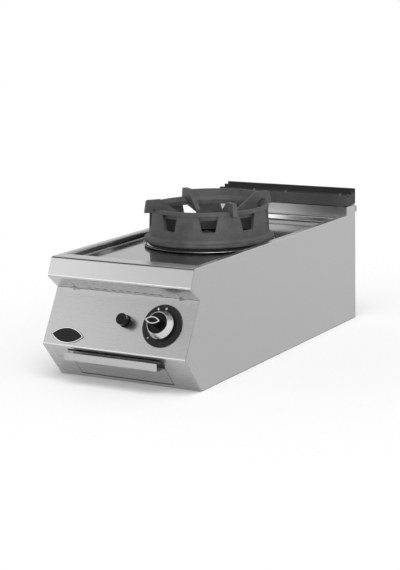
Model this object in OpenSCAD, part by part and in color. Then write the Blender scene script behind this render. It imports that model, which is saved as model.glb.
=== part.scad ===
// Counter-top gas wok range: folded stainless body, cast wok ring and trivet, one gas tap, igniter and drip drawer.
// Millimetres. X runs to the right, Y to the back, Z up. The origin is the middle of the base, on its underside.

/* [Body] */
// Width over the side panels
body_w = 400; // [380:5:460]
// Depth from the foot of the control panel to the back
body_d = 930; // [880:5:1000]
// Height of the worktop rim
top_h = 296; // [288:1:310]
// Thickness of the sheet-steel skins
skin_t = 1.5; // [1.2:0.1:2]
// Inside radius of the skins' bends
bend_r = 5; // [3:0.5:6]

/* [Front] */
// Setback of the nose's top edge behind the foremost edge
nose_top_set = 51.5; // [46:0.5:56]
// Setback of the nose's lip
nose_lip_set = 31; // [26:0.5:36]
// Drop of the nose's lip below the rim
nose_drop = 45; // [40:1:50]
// Setback of the control panel's top edge
panel_top_set = 71.5; // [66:0.5:78]
// Drop of the control panel's top edge below the rim
panel_top_drop = 78; // [72:1:84]
// Height of the control panel's foot, the foremost edge
panel_foot_h = 90; // [86:1:96]
// Setback of the base behind the foremost edge
base_set = 72.5; // [68:0.5:78]

/* [Worktop basin] */
// Rim beside the basin
rim_side = 18; // [14:1:26]
// Rim between the nose and the basin
rim_front = 45; // [38:1:55]
// Rim between the basin and the rear upstand
rim_rear = 34; // [26:1:45]
// Depth of the basin below the rim
basin_d = 16; // [12:0.5:22]
// Horizontal run of the basin's drafted walls
basin_run = 3; // [2:0.5:8]

/* [Wok ring] */
// Ring's centre behind the middle of the body
ring_y = 3; // [-10:0.5:30]
// Burner opening's edge inside the ring's wall
aperture_in = 14; // [12:0.5:18]
// Height of the raised collar round the opening
collar_h = 10; // [8:0.5:12]
// Basin floor left beside the ring's flange
ring_side_gap = 11.5; // [8:0.5:15]
// Thickness of the ring's flange
ring_flange_t = 7; // [6:0.5:9]
// Reach of the flange past the ring's wall
flange_out = 12.5; // [10:0.5:16]
// Draft of the ring's wall from its foot to its top
ring_draft = 3; // [2:0.5:5]
// Thickness of the ring's wall
ring_wall = 8.5; // [7:0.5:10]
// Height of the ring
ring_h = 76; // [70:0.5:82]
// Notches round the ring's top edge
notch_count = 9; // [7:1:10]
// Notch width at the top edge
notch_top_w = 50.5; // [44:0.5:56]
// Notch width at its foot
notch_foot_w = 32; // [28:0.5:38]
// Notch depth
notch_d = 41.5; // [34:0.5:44]

/* [Trivet] */
// Height of the trivet's band
band_h = 10; // [8:0.5:14]
// Height of the fins above the ring
fin_rise = 32; // [28:0.5:38]
// Reach of the fins past the ring
fin_reach = 23; // [18:0.5:26]
// Reach of the fins inside the ring's top edge
fin_in = 78; // [62:1:82]
// Reach of the fins' flat tops inside the ring's top edge
fin_flat_in = 20; // [14:1:26]
// Thickness of a fin
fin_t = 12; // [9:0.5:14]
// Height of the raised back wall above the ring
back_wall_rise = 28; // [24:0.5:31]

/* [Controls] */
// Knob's centre in from the right side
knob_in = 81; // [72:1:96]
// Knob's centre up the panel from its foot
knob_s = 76.5; // [70:0.5:84]
// Radius of the dial plate
dial_r = 52; // [48:0.5:56]
// Largest radius of the knob's bright ring
knob_ring_r = 35; // [34:0.5:38]
// Radius of the knob's face
knob_face_r = 26; // [24:0.5:28]
// Length of the knob's grip
grip_len = 40; // [34:0.5:44]
// Width of the knob's grip
grip_w = 17; // [14:0.5:20]
// Knob's height above the panel
knob_h = 50; // [46:0.5:54]
// Travel of the knob when it is pushed
push_travel = 4; // [3:0.5:5]
// Radius of the tap's spindle
spindle_r = 4; // [3:0.1:5]
// Igniter's centre left of the knob's
igniter_left = 99.5; // [84:0.5:106]
// Igniter's centre up the panel from its foot
igniter_s = 77; // [66:0.5:84]
// Radius of the igniter's button
button_r = 14; // [13:0.5:16]
// Height of the button above the panel
button_h = 28; // [26:0.5:34]
// Travel of the button
button_travel = 6; // [4:0.5:7]
// Width of the blank badge plate
badge_w = 94; // [70:1:100]
// Height of the blank badge plate
badge_h = 40; // [34:1:46]

/* [Drawer] */
// Front panel left beside the drawer
drawer_in = 70; // [60:1:80]
// Height of the drawer front's foot
drawer_foot_h = 11.5; // [10:0.5:16]
// Height of the shelf behind the pull lip
shelf_h = 58.5; // [54:0.5:62]
// Height of the pull lip
lip_h = 20; // [16:0.5:22]
// Reach of the pull lip in front of the panel's foot
lip_out = 11; // [9:0.5:16]
// Length of the drip tray
tray_len = 630; // [560:5:680]
// Height of the drip tray
tray_h = 40; // [30:1:44]

/* [Flue] */
// Depth of the rear upstand
upstand_d = 56; // [52:1:64]
// Height of the upstand above the worktop rim
upstand_rise = 24; // [18:1:32]
// Height of the flue cover's front above the upstand
flue_front_rise = 30; // [26:0.5:36]
// Height of the flue cover's back above the upstand
flue_rear_rise = 44.5; // [42:0.5:52]

/* [Burner] */
// Outer radius of the burner
burner_r = 80; // [70:1:90]
// Drop of the burner's bracket below the basin
bracket_drop = 99; // [92:1:108]
// Height of the burner's bowl
bowl_h = 69; // [64:1:76]
// Length of the mixing tube from the burner's axis to its mouth
venturi_len = 190; // [180:2:210]

/* [Gas inlet] */
// Outer radius of the inlet's pipe thread
inlet_r = 10.48; // [8:0.01:13]
// Inlet in from the right side
inlet_in = 30; // [25:1:40]
// Height of the inlet
inlet_h = 100; // [95:1:110]

/* [Stand bolts] */
// Stand bolts in from the sides
bolt_in_x = 40; // [30:1:50]
// Stand bolts in from the front and back
bolt_in_y = 95; // [85:1:115]
// Radius of the stand bolts' clearance holes
bolt_r = 5.5; // [4:0.1:6]

/* [Hidden] */
$fn = 64;

// Overrun of every cut past the face it opens
over = 1;
// Clearance between pieces that move past each other
run_gap = 0.3;
// Radial clearance of a running fit
fit_gap = 0.05;
// Radial clearance of a hole round a fixed screw or thread
hole_gap = 0.25;
// Reach of a sector's cutting wedge, as a share of its outer radius
wedge_share = 1.5;
// Flats in each bend of a folded sheet or rounded corner
bend_steps = 10;
// Swelling of a pipe's bends past its straights, and their lap over the straights in degrees
bend_swell = 0.25;
bend_lap = 1;

// Body derived from the driving sizes
half_w = body_w / 2;
knob_x = half_w - knob_in;
igniter_x = knob_x - igniter_left;
inlet_x = half_w - inlet_in;
drawer_w = body_w - 2 * drawer_in;
bolt_x = half_w - bolt_in_x;
bolt_y = body_d / 2 - bolt_in_y;
inner_w = half_w - skin_t;
front_y = -body_d / 2;
rear_y = body_d / 2;
upstand_y = rear_y - upstand_d;
upstand_h = top_h + upstand_rise;
nose_lip_h = top_h - nose_drop;
panel_top_h = top_h - panel_top_drop;
nose_top = [front_y + nose_top_set, top_h];
nose_lip = [front_y + nose_lip_set, nose_lip_h];
panel_top = [front_y + panel_top_set, panel_top_h];
panel_foot = [front_y, panel_foot_h];
base_front = [front_y + base_set, 0];
panel_tilt = atan(panel_top_set / (panel_top_h - panel_foot_h));
panel_len = norm(panel_top - panel_foot);
chamfer_tilt = atan(base_set / panel_foot_h);
return_dir = unit(panel_top - nose_lip);
// Gap between the panel's top end and the nose's return
panel_gap = 0.4;
// Tail of the nose's return, screwed to the panel's flange out of sight
tail_len = 12;
// Gap between the side sheets' front edges and the folded skins
side_gap = 0.9;
side_outline = concat(
  [for (p = [nose_top, nose_lip, panel_top, panel_foot, base_front]) p + [side_gap, 0]],
  [[rear_y, 0], [rear_y, upstand_h], [upstand_y, upstand_h], [upstand_y, top_h]]
);

// Vent slots and screws in the nose's return
vent_count = 10;
vent_pitch = 22;
vent_w = 13;
vent_h = 3;
vent_up = 9;
nose_screw_in = 52;
nose_screw_x = half_w - nose_screw_in;
nose_screw_up = 14;
nose_screw_r = 4;
nose_screw_h = 2.4;
nose_shank_r = 2;
nose_shank_l = 6;

// Basin and collar
basin_half_w = half_w - rim_side;
basin_y0 = nose_top[0] + rim_front;
basin_y1 = upstand_y - rim_rear;
floor_h = top_h - basin_d;
ring_flange_r = basin_half_w - basin_run - ring_side_gap;
ring_foot_r = ring_flange_r - flange_out;
ring_top_r = ring_foot_r - ring_draft;
aperture_r = ring_foot_r - aperture_in;
basin_lap = 5;
mitre_lap = 0.2;
basin_foot = 8;
basin_bend_r = 4;
collar_w = 12;
collar_slope = 11;
collar_lap = 4;
collar_bend_r = 1.5;
collar_lip = 7;
collar_crest_r = aperture_r + collar_w;
collar_foot_r = collar_crest_r + collar_slope;
collar_end_r = collar_foot_r + collar_lap;

// Hooks of the control panel and holes through it
hook_in = 50;
hook_x = half_w - hook_in;
hook_down = 3;
hook_w = 9;
hook_h = 2;
slot_top_h = 84;
drawer_top_gap = 5;
drawer_side_gap = 1.5;
face_top_h = slot_top_h - drawer_top_gap;

// Base pan, its flanges, air slots and weld nuts
base_flange_h = 24;
base_front_flange_h = 7;
base_front_gap = 1.6;
air_slot_count = 6;
air_slot_w = 10;
air_slot_len = 90;
air_slot_pitch = 32;
air_slot_back = 60;
nut_af = 17;
nut_h = 8;
nut_thread_r = 4.25;

// Back panel
back_vent_count = 7;
back_vent_w = 9;
back_vent_h = 70;
back_vent_pitch = 30;
back_vent_z = 180;
spacer_h = 16;
spacer_d = 9;
spacer_down = 4;
back_screw_in = 12;
back_screw_r = 3.6;
back_screw_h = 2;
back_shank_r = 1.6;
back_shank_l = 8;
back_screw_low = 40;
back_screw_high = 36;

// Rear upstand and flue cover
flue_rim = 13;
flue_end_rim = 22;
flue_gap = 2.5;
flue_wall = 4;
flue_slot = 6;
louvre_t = 4;
bevel_run = 8;
bevel_rise = 5.5;
louvre_run = 26;
louvre_fall = 6;
louvre_step = 10.5;
louvre_lip = 16;
flue_rib_count = 3;
flue_rib_t = 5;
flue_rib_h = 12;
flue_screw_right = 21;
flue_screw_mid = 11;
flue_screw_left = 112;
flue_screw_r = 3.4;
flue_screw_h = 2;
flue_shank_r = 1.6;
flue_shank_l = 3;
flue_pad_w = 20;
flue_pad_d = 8;
flue_pad_in = 1;
flue_pad_end = 8;

// Wok ring and trivet
ring_z = floor_h + collar_h;
ring_top = ring_z + ring_h;
ring_bore_in = 1;
ring_bore_r = ring_foot_r - ring_wall - ring_bore_in;
ring_rim_gap = 1.3;
ring_rim_d = 2;
flange_fillet = 9.5;
flange_round = 2.5;
notch_round = 5;
notch_lift = 0.05;
notch_shoulder = 12;
notch_phase = 29.6;
fin_count = 4;
fin_inner_r = ring_top_r - fin_in;
fin_flat_r = ring_top_r - fin_flat_in;
fin_phase = 52.3;
fin_round = 6;
fin_draft = 5.5;
fin_tip_drop = 13.5;
fin_tip_h = 7;
window_fin = 1;
window_in = 19;
window_apex_in = 5;
window_out = 6;
window_drop = 13;
window_h = 5;
band_proud = 2;
spigot_d = 10.5;
spigot_w = 6;
spigot_gap = 0.4;
band_crest_w = 7.5;
back_wall_t = 6.5;
back_wall_set = 0.5;
back_wall_lean = 2;

// Knob, dial plate and tap, measured out of the panel's face
dial_t = 2.5;
dial_rim_h = 3;
dial_rim_w = 1.5;
dial_hub_r = 30;
dial_hub_h = 5;
dial_pocket_r = 24;
dial_pocket_d = 3;
dial_hole_r = 8;
panel_hole_r = 7;
knob_lift = dial_hub_h + push_travel + run_gap;
knob_base_h = 2.5;
knob_ring_top = 26.5;
knob_ring_w = 3.5;
knob_ring_seat = 0.1;
knob_foot_in = 0.7;
knob_face_rise = 1;
knob_face_in = 3;
grip_post_r = 12.5;
grip_post_h = 44;
trim_h = 1.5;
trim_w = 2.2;
spindle_top = 30;
spindle_flat = 1.2;
spindle_inner = 20;
plunger_r = 9;
plunger_h = 6;
chamber_slack = 1;
tap_flange_w = 52;
tap_flange_h = 34;
tap_flange_t = 6;
tap_barrel_r = 15;
tap_barrel_end = 44;
tap_tail_af = 24;
tap_tail_end = 58;
outlet_in = 34;
outlet_r = 9;
outlet_len = 30;
sensor_in = 36;
sensor_r = 6.5;
sensor_len = 27;
tap_screw_x = 18.5;
tap_screw_r = 4;
tap_screw_h = 2.2;
tap_shank_r = 2;

// Igniter, measured out of the panel's face
bezel_r = 15.5;
bezel_h = 8;
bezel_edge = 1.5;
igniter_thread_r = 11;
igniter_thread_len = 28;
igniter_neck_r = 8;
igniter_neck_end = 40;
terminal_r = 2.4;
terminal_end = 46;
button_neck_r = 12;
button_neck_in = 1;
button_cap_foot = 14.5;
button_edge = 1.5;
button_stem_r = 8;
button_stem_len = 11.5;
igniter_nut_af = 27;
igniter_nut_t = 6;

// Badge plate
badge_t = 1;
badge_rim = 2.5;
badge_rim_h = 0.5;
badge_in = 64.5;
badge_x = badge_in - half_w;
badge_s = 28;

// Drawer and runners
drawer_half_w = drawer_w / 2;
drawer_flange = 40;
tray_t = 1.2;
tray_in = 6;
tray_half_w = drawer_half_w - tray_in;
tray_corner_r = 8;
tray_z = drawer_foot_h + skin_t;
tray_y = chamfer_y(tray_z) + skin_t + 1.5 * bend_r;
runner_t = 1.5;
runner_foot = 18;
runner_web_h = 36;
runner_ledge = 14;
runner_start = 50;
runner_len = 560;

// Burner
bracket_t = 2.5;
bracket_foot = 25;
bracket_in = 19.5;
bracket_half_w = inner_w - skin_t - bracket_in - bracket_foot - bracket_t;
bracket_d = 64;
bracket_bend_r = 3;
bracket_window_r = 20;
bracket_screw_r = 4.5;
bracket_screw_h = 3;
bracket_shank_r = 2.5;
bowl_wall = 6;
bowl_foot_r = 34;
bowl_foot_h = 6;
bowl_waist_r = 52;
bowl_waist_h = 19;
bowl_side_h = 18;
venturi_h = 41;
venturi_throat_r = 20;
venturi_bore_r = 14.5;
venturi_mouth_r = 34;
venturi_mouth_bore_r = 26;
venturi_flange_t = 7;
throat_in = 72;
mouth_len = 18;
throat_at = venturi_len - throat_in;
flare_at = venturi_len - mouth_len;
spider_w = 11;
spider_boss_r = 13;
spider_depth = 12;
lug_az = 28;
lug_out = 16;
lug_r = 9;
lug_t = 8;
lug_down = 4;
cap_flange_t = 5;
cap_over = 2;
cap_spigot_d = 7;
cap_spigot_gap = 0.4;
cap_wall = 5;
cap_top_r = 46;
cap_top_h = 44;
cap_slot_count = 24;
cap_slot_w = 3;
cap_slot_low = 9;
cap_slot_high = 33;
cap_hole_count = 12;
cap_hole_r = 2;
cap_hole_at = 34;
bracket_h = floor_h - bracket_drop;
burner_axis_z = bracket_h + venturi_h;
bowl_top = bracket_h + bowl_h;

// Injector and air shutter, measured along the mixing tube from the burner's axis
holder_af = 24;
holder_hex_len = 16;
holder_neck_r = 9;
holder_neck_len = 12;
holder_shank_r = 8;
holder_shank_in = 18;
injector_r = 5.5;
injector_len = 10;
injector_tip_r = 2.5;
injector_tip_len = 6;
shutter_r = 32;
shutter_t = 2;
shutter_window_count = 4;
shutter_window_in = 18;
shutter_window_out = 28;
shutter_window_angle = 55;
holder_end = venturi_len + holder_hex_len + holder_neck_len;

// Pipes and leads
feed_r = 5;
feed_bend = 18;
feed_nut_af = 17;
feed_nut_len = 12;
feed_rise = 36;
feed_level_run = 62;
supply_r = 9;
supply_bend = 30;
supply_nut_af = 26;
supply_nut_len = 14;
supply_side_run = 76;
nipple_start = 24;
nipple_hex_af = 30;
nipple_hex_len = 11;
nipple_out = 36;
nipple_step = 1;
nipple_bore_r = 7.5;
locknut_af = 32;
locknut_t = 7;
lead_r = 1.7;
lead_bend = 9;
ceramic_r = 3.4;
ceramic_down = 18;
ceramic_up = 26;
ceramic_collar_r = 5.5;
ceramic_collar_h = 5;
spark_rod_r = 1.2;
spark_rod_up = 24;
spark_rod_reach = 10;
probe_r = 2.6;
probe_up = 46;
probe_down = 16;
probe_nut_af = 10;
probe_nut_h = 6;
lug_hole_r = 3.6;
sensor_drop = 20;
lead_low_h = 86;
lead_mid_h = 104;
lead_mid_y = -140;
sensor_lead_x = 90;
sensor_lead_y = -290;
spark_lead_in = 30;

// Places worked out from the sizes
tap_outlet = panel_point(knob_x, knob_s + outlet_len, -outlet_in);
tap_sensor = panel_point(knob_x, knob_s - sensor_len, -sensor_in);
tap_tail = panel_point(knob_x, knob_s, -tap_tail_end);
tap_tail_run = (tap_tail[2] - inlet_h) / sin(panel_tilt);
supply_turn = panel_point(knob_x, knob_s, -tap_tail_end - tap_tail_run);
lug_at = burner_r + lug_out;
lug_point = [lug_at * sin(lug_az), ring_y - lug_at * cos(lug_az), bowl_top - lug_down];
terminal_point = panel_point(igniter_x, igniter_s, -terminal_end);

function unit(v) = v / norm(v);
function left_of(d) = [-d[1], d[0]];
function turn(a, b) = a[0] * b[1] - a[1] * b[0];
function between(a, b) = acos(max(-1, min(1, a * b)));
// A point on the panel, x across, s up from its foot, out of its face
function panel_point(x, s, out) = [
  x,
  front_y + s * sin(panel_tilt) - out * cos(panel_tilt),
  panel_foot_h + s * cos(panel_tilt) + out * sin(panel_tilt)
];
// Depth of the chamfered lower front's face at a height
function chamfer_y(z) = front_y + base_set * (1 - z / panel_foot_h);

// A box from its lowest to its highest corner
module block(low, high) {
  translate(low) cube(high - low);
}

// A (depth, height) section drawn from one width to another
module across(x0, x1) {
  translate([x0, 0, 0]) rotate([90, 0, 90]) linear_extrude(x1 - x0) children();
}

// Children stand on the panel's face, up its slope
module on_panel(x, s) {
  translate(panel_point(x, s, 0)) rotate([90 - panel_tilt, 0, 0]) children();
}

// Children stand on the chamfered lower front, up its slope from the base
module on_chamfer(x, s) {
  translate([x, base_front[0] - s * sin(chamfer_tilt), s * cos(chamfer_tilt)])
    rotate([90 + chamfer_tilt, 0, 0]) children();
}

// Children stand on the nose's return, out of its face, at a distance up from the panel
module on_return(x, up) {
  place = panel_top - return_dir * up;
  out = -left_of(return_dir);
  translate([x, place[0], place[1]]) rotate([atan2(-out[0], out[1]), 0, 0]) children();
}

// Children stand at an azimuth round the burner's axis, from the front towards the right, facing outwards
module round_axis(azimuth) {
  translate([0, ring_y, 0]) rotate([0, 0, azimuth - 90]) children();
}

// Children run along the mixing tube, out of the burner's axis towards the front
module along_tube() {
  translate([0, ring_y, burner_axis_z]) rotate([90, 0, 0]) children();
}

// Part of a flat ring between two angles
module arc_band(r_in, r_out, a0, a1) {
  reach = wedge_share * r_out;
  mid = (a0 + a1) / 2;
  intersection() {
    difference() {
      circle(r_out);
      circle(r_in);
    }
    polygon([
      [0, 0], reach * [cos(a0), sin(a0)], reach * [cos(mid), sin(mid)], reach * [cos(a1), sin(a1)]
    ]);
  }
}

// Points of one bend of a folded sheet, on the side that lies a shift to the left of the drawn side
function fold_arc(points, i, thick, bend, shift) =
  let (
    d0 = unit(points[i] - points[i - 1]),
    d1 = unit(points[i + 1] - points[i]),
    angle = between(d0, d1),
    to_left = turn(d0, d1) > 0,
    trim = (to_left ? bend + thick : bend) * tan(angle / 2),
    start = points[i] - d0 * trim,
    centre = to_left ? start + left_of(d0) * (bend + thick) : start - left_of(d0) * bend,
    r = to_left ? bend + thick - shift : bend + shift,
    a0 = atan2(d0[1], d0[0]) + (to_left ? -90 : 90),
    step = (to_left ? angle : -angle) / bend_steps
  )
  [for (k = [0:bend_steps]) centre + r * [cos(a0 + k * step), sin(a0 + k * step)]];

// One side of a folded sheet from end to end
function fold_side(points, thick, bend, shift) =
  let (last = len(points) - 1)
  concat(
    [points[0] + left_of(unit(points[1] - points[0])) * shift],
    [for (i = [1:last - 1]) each fold_arc(points, i, thick, bend, shift)],
    [points[last] + left_of(unit(points[last] - points[last - 1])) * shift]
  );

function reversed(list) = [for (i = [len(list) - 1:-1:0]) list[i]];

// Section of a folded sheet: its drawn side follows the points, and its thickness lies to the left
module folded_sheet(points, thick, bend) {
  polygon(concat(fold_side(points, thick, bend, 0), reversed(fold_side(points, thick, bend, thick))));
}

// Round bar along a route of points, bent to a radius at each corner
module pipe(route, r, bend) {
  last = len(route) - 1;
  dirs = [for (i = [0:last - 1]) unit(route[i + 1] - route[i])];
  angles = [for (i = [0:last]) i == 0 || i == last ? 0 : between(dirs[i - 1], dirs[i])];
  trims = [for (a = angles) bend * tan(a / 2)];
  for (i = [0:last - 1]) {
    run = norm(route[i + 1] - route[i]) - trims[i] - trims[i + 1];
    translate(route[i] + dirs[i] * trims[i]) point_along(dirs[i]) cylinder(h = run, r = r);
  }
  for (i = [1:last - 1]) {
    inward = unit(dirs[i] - dirs[i - 1] * (dirs[i - 1] * dirs[i]));
    centre = route[i] - dirs[i - 1] * trims[i] + inward * bend;
    axis = cross(dirs[i - 1], inward);
    multmatrix([
      [-inward[0], dirs[i - 1][0], axis[0], centre[0]],
      [-inward[1], dirs[i - 1][1], axis[1], centre[1]],
      [-inward[2], dirs[i - 1][2], axis[2], centre[2]],
      [0, 0, 0, 1]
    ])
      rotate(-bend_lap)
        rotate_extrude(angle = angles[i] + 2 * bend_lap) translate([bend, 0]) circle(r + bend_swell);
  }
}

// Children's Z axis turned along a direction
module point_along(d) {
  rotate([0, acos(d[2]), atan2(d[1], d[0])]) children();
}

// Hexagon bar by its width across flats
module hex_bar(af, h) {
  cylinder(h = h, r = af / 2 / cos(30), $fn = 6);
}

// Pan-head screw: its head stands on the face and its shank goes in
module pan_screw(head_r, head_h, shank_r, shank_l) {
  rotate_extrude()
    polygon([
      [0, -shank_l], [shank_r, -shank_l], [shank_r, 0], [head_r, 0], [head_r, head_h / 2],
      [head_r * 3 / 4, head_h], [0, head_h]
    ]);
}

// Rectangle with round corners, centred
module rounded_rect(w, h, r) {
  square([w - 2 * r, h], center = true);
  square([w, h - 2 * r], center = true);
  for (x = [-1, 1], y = [-1, 1])
    translate([x * (w / 2 - r), y * (h / 2 - r)]) circle(r);
}

// Slot with round ends, centred, along X
module slot_shape(w, h) {
  square([w - h, h], center = true);
  for (x = [-1, 1])
    translate([x * (w - h) / 2, 0]) circle(h / 2);
}

// Pointed oval, centred, along X
module lens_shape(length, width) {
  r = (length * length + width * width) / (4 * width);
  intersection_for (y = [-1, 1])
    translate([0, y * (r - width / 2)]) circle(r);
}

module base_pan() {
  y0 = base_front[0] + base_front_gap;
  y1 = rear_y - skin_t;
  color("lightgray")
    difference() {
      union() {
        block([-half_w, y0, 0], [half_w, y1, skin_t]);
        for (x = [-inner_w, inner_w - skin_t])
          block([x, y0 + bend_r + skin_t, 0], [x + skin_t, y1, base_flange_h]);
        block([-inner_w, y1 - skin_t, 0], [inner_w, y1, base_flange_h]);
        block([-inner_w, y0, 0], [inner_w, y0 + skin_t, base_front_flange_h]);
      }
      for (x = [-1, 1], y = [-1, 1])
        translate([x * bolt_x, y * bolt_y, -over]) cylinder(h = skin_t + 2 * over, r = bolt_r);
      for (i = [0:air_slot_count - 1])
        translate([(i - (air_slot_count - 1) / 2) * air_slot_pitch, y1 - air_slot_back - air_slot_len / 2, -over])
          linear_extrude(skin_t + 2 * over) rotate(90) slot_shape(air_slot_len, air_slot_w);
      for (p = bracket_screw_points)
        translate([p[0], p[1], -over]) cylinder(h = skin_t + 2 * over, r = bracket_shank_r + hole_gap);
    }
}

// Weld nuts, each with a pilot collar in the pan's hole
module base_nuts() {
  color("silver")
    for (x = [-1, 1], y = [-1, 1])
      translate([x * bolt_x, y * bolt_y, 0])
        difference() {
          union() {
            translate([0, 0, skin_t]) hex_bar(nut_af, nut_h);
            cylinder(h = skin_t + over, r = bolt_r - hole_gap);
          }
          translate([0, 0, -over]) cylinder(h = skin_t + nut_h + 2 * over, r = nut_thread_r);
        }
}

// Side sheet: inside the folded skins at the front, the top and the base, square at the back
module side_section() {
  offset(r = bend_r) offset(delta = -(skin_t + bend_r)) polygon(side_outline);
  translate([upstand_y + skin_t, skin_t]) square([upstand_d - 2 * skin_t, upstand_h - 2 * skin_t]);
}

module left_side_panel() {
  color("silver") across(-half_w, -inner_w) side_section();
}

module right_side_panel() {
  color("silver") across(inner_w, half_w) side_section();
}

back_screw_points = [
  for (x = [-1, 1], z = [back_screw_low, upstand_h / 2, upstand_h - back_screw_high])
    [x * (inner_w - back_screw_in), z]
];

module back_panel() {
  color("lightgray")
    difference() {
      union() {
        block([-half_w, rear_y - skin_t, 0], [half_w, rear_y, upstand_h]);
        block(
          [-half_w, rear_y, upstand_h - spacer_down - spacer_h],
          [half_w, rear_y + spacer_d, upstand_h - spacer_down]
        );
      }
      block(
        [-half_w + skin_t, rear_y - skin_t - over, upstand_h - spacer_down - spacer_h + skin_t],
        [half_w - skin_t, rear_y + spacer_d - skin_t, upstand_h - spacer_down - skin_t]
      );
      for (i = [0:back_vent_count - 1])
        translate([(i - (back_vent_count - 1) / 2) * back_vent_pitch, rear_y + over, back_vent_z])
          rotate([90, 0, 0]) linear_extrude(skin_t + 2 * over) rotate(90) slot_shape(back_vent_h, back_vent_w);
      translate([inlet_x, rear_y + over, inlet_h])
        rotate([90, 0, 0]) cylinder(h = skin_t + 2 * over, r = inlet_r + nipple_step + hole_gap);
      for (p = back_screw_points)
        translate([p[0], rear_y + over, p[1]])
          rotate([90, 0, 0]) cylinder(h = skin_t + 2 * over, r = back_shank_r + hole_gap);
    }
}

module back_screws() {
  color("silver")
    for (p = back_screw_points)
      translate([p[0], rear_y, p[1]])
        rotate([-90, 0, 0]) pan_screw(back_screw_r, back_screw_h, back_shank_r, back_shank_l);
}

// Sloping control panel and chamfered lower front in one folded sheet
module front_panel() {
  slope_dir = unit(panel_foot - panel_top);
  flange_at = panel_top + return_dir * skin_t;
  foot_s = (drawer_foot_h - drawer_side_gap - skin_t) / cos(chamfer_tilt);
  top_s = slot_top_h / cos(chamfer_tilt);
  open_w = drawer_w + 2 * drawer_side_gap;
  color("silver")
    difference() {
      union() {
        across(-half_w, half_w)
          folded_sheet([panel_top + slope_dir * panel_gap, panel_foot, base_front], skin_t, bend_r);
        across(-inner_w, inner_w)
          translate(flange_at) rotate(atan2(return_dir[1], return_dir[0]))
            translate([0, -skin_t]) square([tail_len, skin_t]);
      }
      on_chamfer(0, foot_s)
        translate([-open_w / 2, 0, -2 * skin_t]) cube([open_w, top_s - foot_s, 4 * skin_t]);
      on_panel(knob_x, knob_s) {
        translate([0, 0, -2 * skin_t]) cylinder(h = 4 * skin_t, r = panel_hole_r);
        for (x = [-1, 1])
          translate([x * tap_screw_x, 0, -2 * skin_t]) cylinder(h = 4 * skin_t, r = tap_shank_r + hole_gap);
      }
      on_panel(igniter_x, igniter_s)
        translate([0, 0, -2 * skin_t]) cylinder(h = 4 * skin_t, r = igniter_thread_r + hole_gap);
      for (x = [-1, 1])
        on_panel(x * hook_x, panel_len - hook_down)
          translate([0, 0, -2 * skin_t]) linear_extrude(4 * skin_t) slot_shape(hook_w, hook_h);
    }
}

// One drafted wall of the basin, with X inwards from the rim's edge, mitred at both ends
module basin_wall(length) {
  inside = basin_run + basin_foot;
  intersection() {
    rotate([90, 0, 0])
      linear_extrude(length + 2 * basin_lap + 2 * mitre_lap, center = true)
        folded_sheet(
          [[inside, floor_h], [basin_run, floor_h], [0, top_h], [-basin_lap, top_h]], skin_t, basin_bend_r
        );
    translate([0, 0, floor_h - 2 * skin_t])
      linear_extrude(basin_d + 4 * skin_t)
        polygon([
          [-basin_lap, -length / 2 - basin_lap - mitre_lap], [inside, -length / 2 + inside - mitre_lap],
          [inside, length / 2 - inside + mitre_lap], [-basin_lap, length / 2 + basin_lap + mitre_lap]
        ]);
  }
}

module worktop() {
  inside = basin_run + basin_foot;
  basin_y = (basin_y0 + basin_y1) / 2;
  basin_len = basin_y1 - basin_y0;
  color("gainsboro") {
    difference() {
      union() {
        across(-half_w, half_w)
          folded_sheet([[upstand_y, top_h], nose_top, nose_lip, panel_top], skin_t, bend_r);
        across(-inner_w, inner_w)
          translate(panel_top) rotate(atan2(return_dir[1], return_dir[0]))
            translate([-over, 0]) square([tail_len + over, skin_t]);
      }
      block(
        [over - basin_half_w - basin_lap, basin_y0 - basin_lap + over, top_h - 2 * skin_t],
        [basin_half_w + basin_lap - over, basin_y1 + basin_lap - over, top_h + skin_t]
      );
      for (i = [0:vent_count - 1])
        on_return((i - (vent_count - 1) / 2) * vent_pitch, vent_up)
          translate([0, 0, -2 * skin_t]) linear_extrude(4 * skin_t) slot_shape(vent_w, vent_h);
      for (x = [-1, 1])
        on_return(x * nose_screw_x, nose_screw_up)
          translate([0, 0, -2 * skin_t]) cylinder(h = 4 * skin_t, r = nose_shank_r + hole_gap);
    }
    translate([-basin_half_w, basin_y, 0]) basin_wall(basin_len);
    translate([basin_half_w, basin_y, 0]) rotate(180) basin_wall(basin_len);
    translate([0, basin_y0, 0]) rotate(90) basin_wall(2 * basin_half_w);
    translate([0, basin_y1, 0]) rotate(-90) basin_wall(2 * basin_half_w);
    difference() {
      block(
        [-basin_half_w + inside - over, basin_y0 + inside - over, floor_h - skin_t],
        [basin_half_w - inside + over, basin_y1 - inside + over, floor_h]
      );
      translate([0, ring_y, floor_h - 2 * skin_t]) cylinder(h = 4 * skin_t, r = collar_end_r - over);
    }
    translate([0, ring_y, 0])
      rotate_extrude()
        folded_sheet([
          [collar_end_r, floor_h], [collar_foot_r, floor_h], [collar_crest_r, ring_z],
          [aperture_r, ring_z], [aperture_r, ring_z - collar_lip]
        ], skin_t, collar_bend_r);
  }
}

module nose_screws() {
  color("silver")
    for (x = [-1, 1])
      on_return(x * nose_screw_x, nose_screw_up)
        pan_screw(nose_screw_r, nose_screw_h, nose_shank_r, nose_shank_l);
}

module rear_upstand() {
  color("silver")
    difference() {
      union() {
        block([-half_w, upstand_y, top_h - skin_t], [half_w, upstand_y + skin_t, upstand_h]);
        block([-half_w, upstand_y, upstand_h - skin_t], [half_w, rear_y - skin_t, upstand_h]);
      }
      block(
        [-half_w + flue_end_rim, upstand_y + flue_rim, upstand_h - 2 * skin_t],
        [half_w - flue_end_rim, rear_y - flue_rim, upstand_h + skin_t]
      );
    }
}

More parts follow.
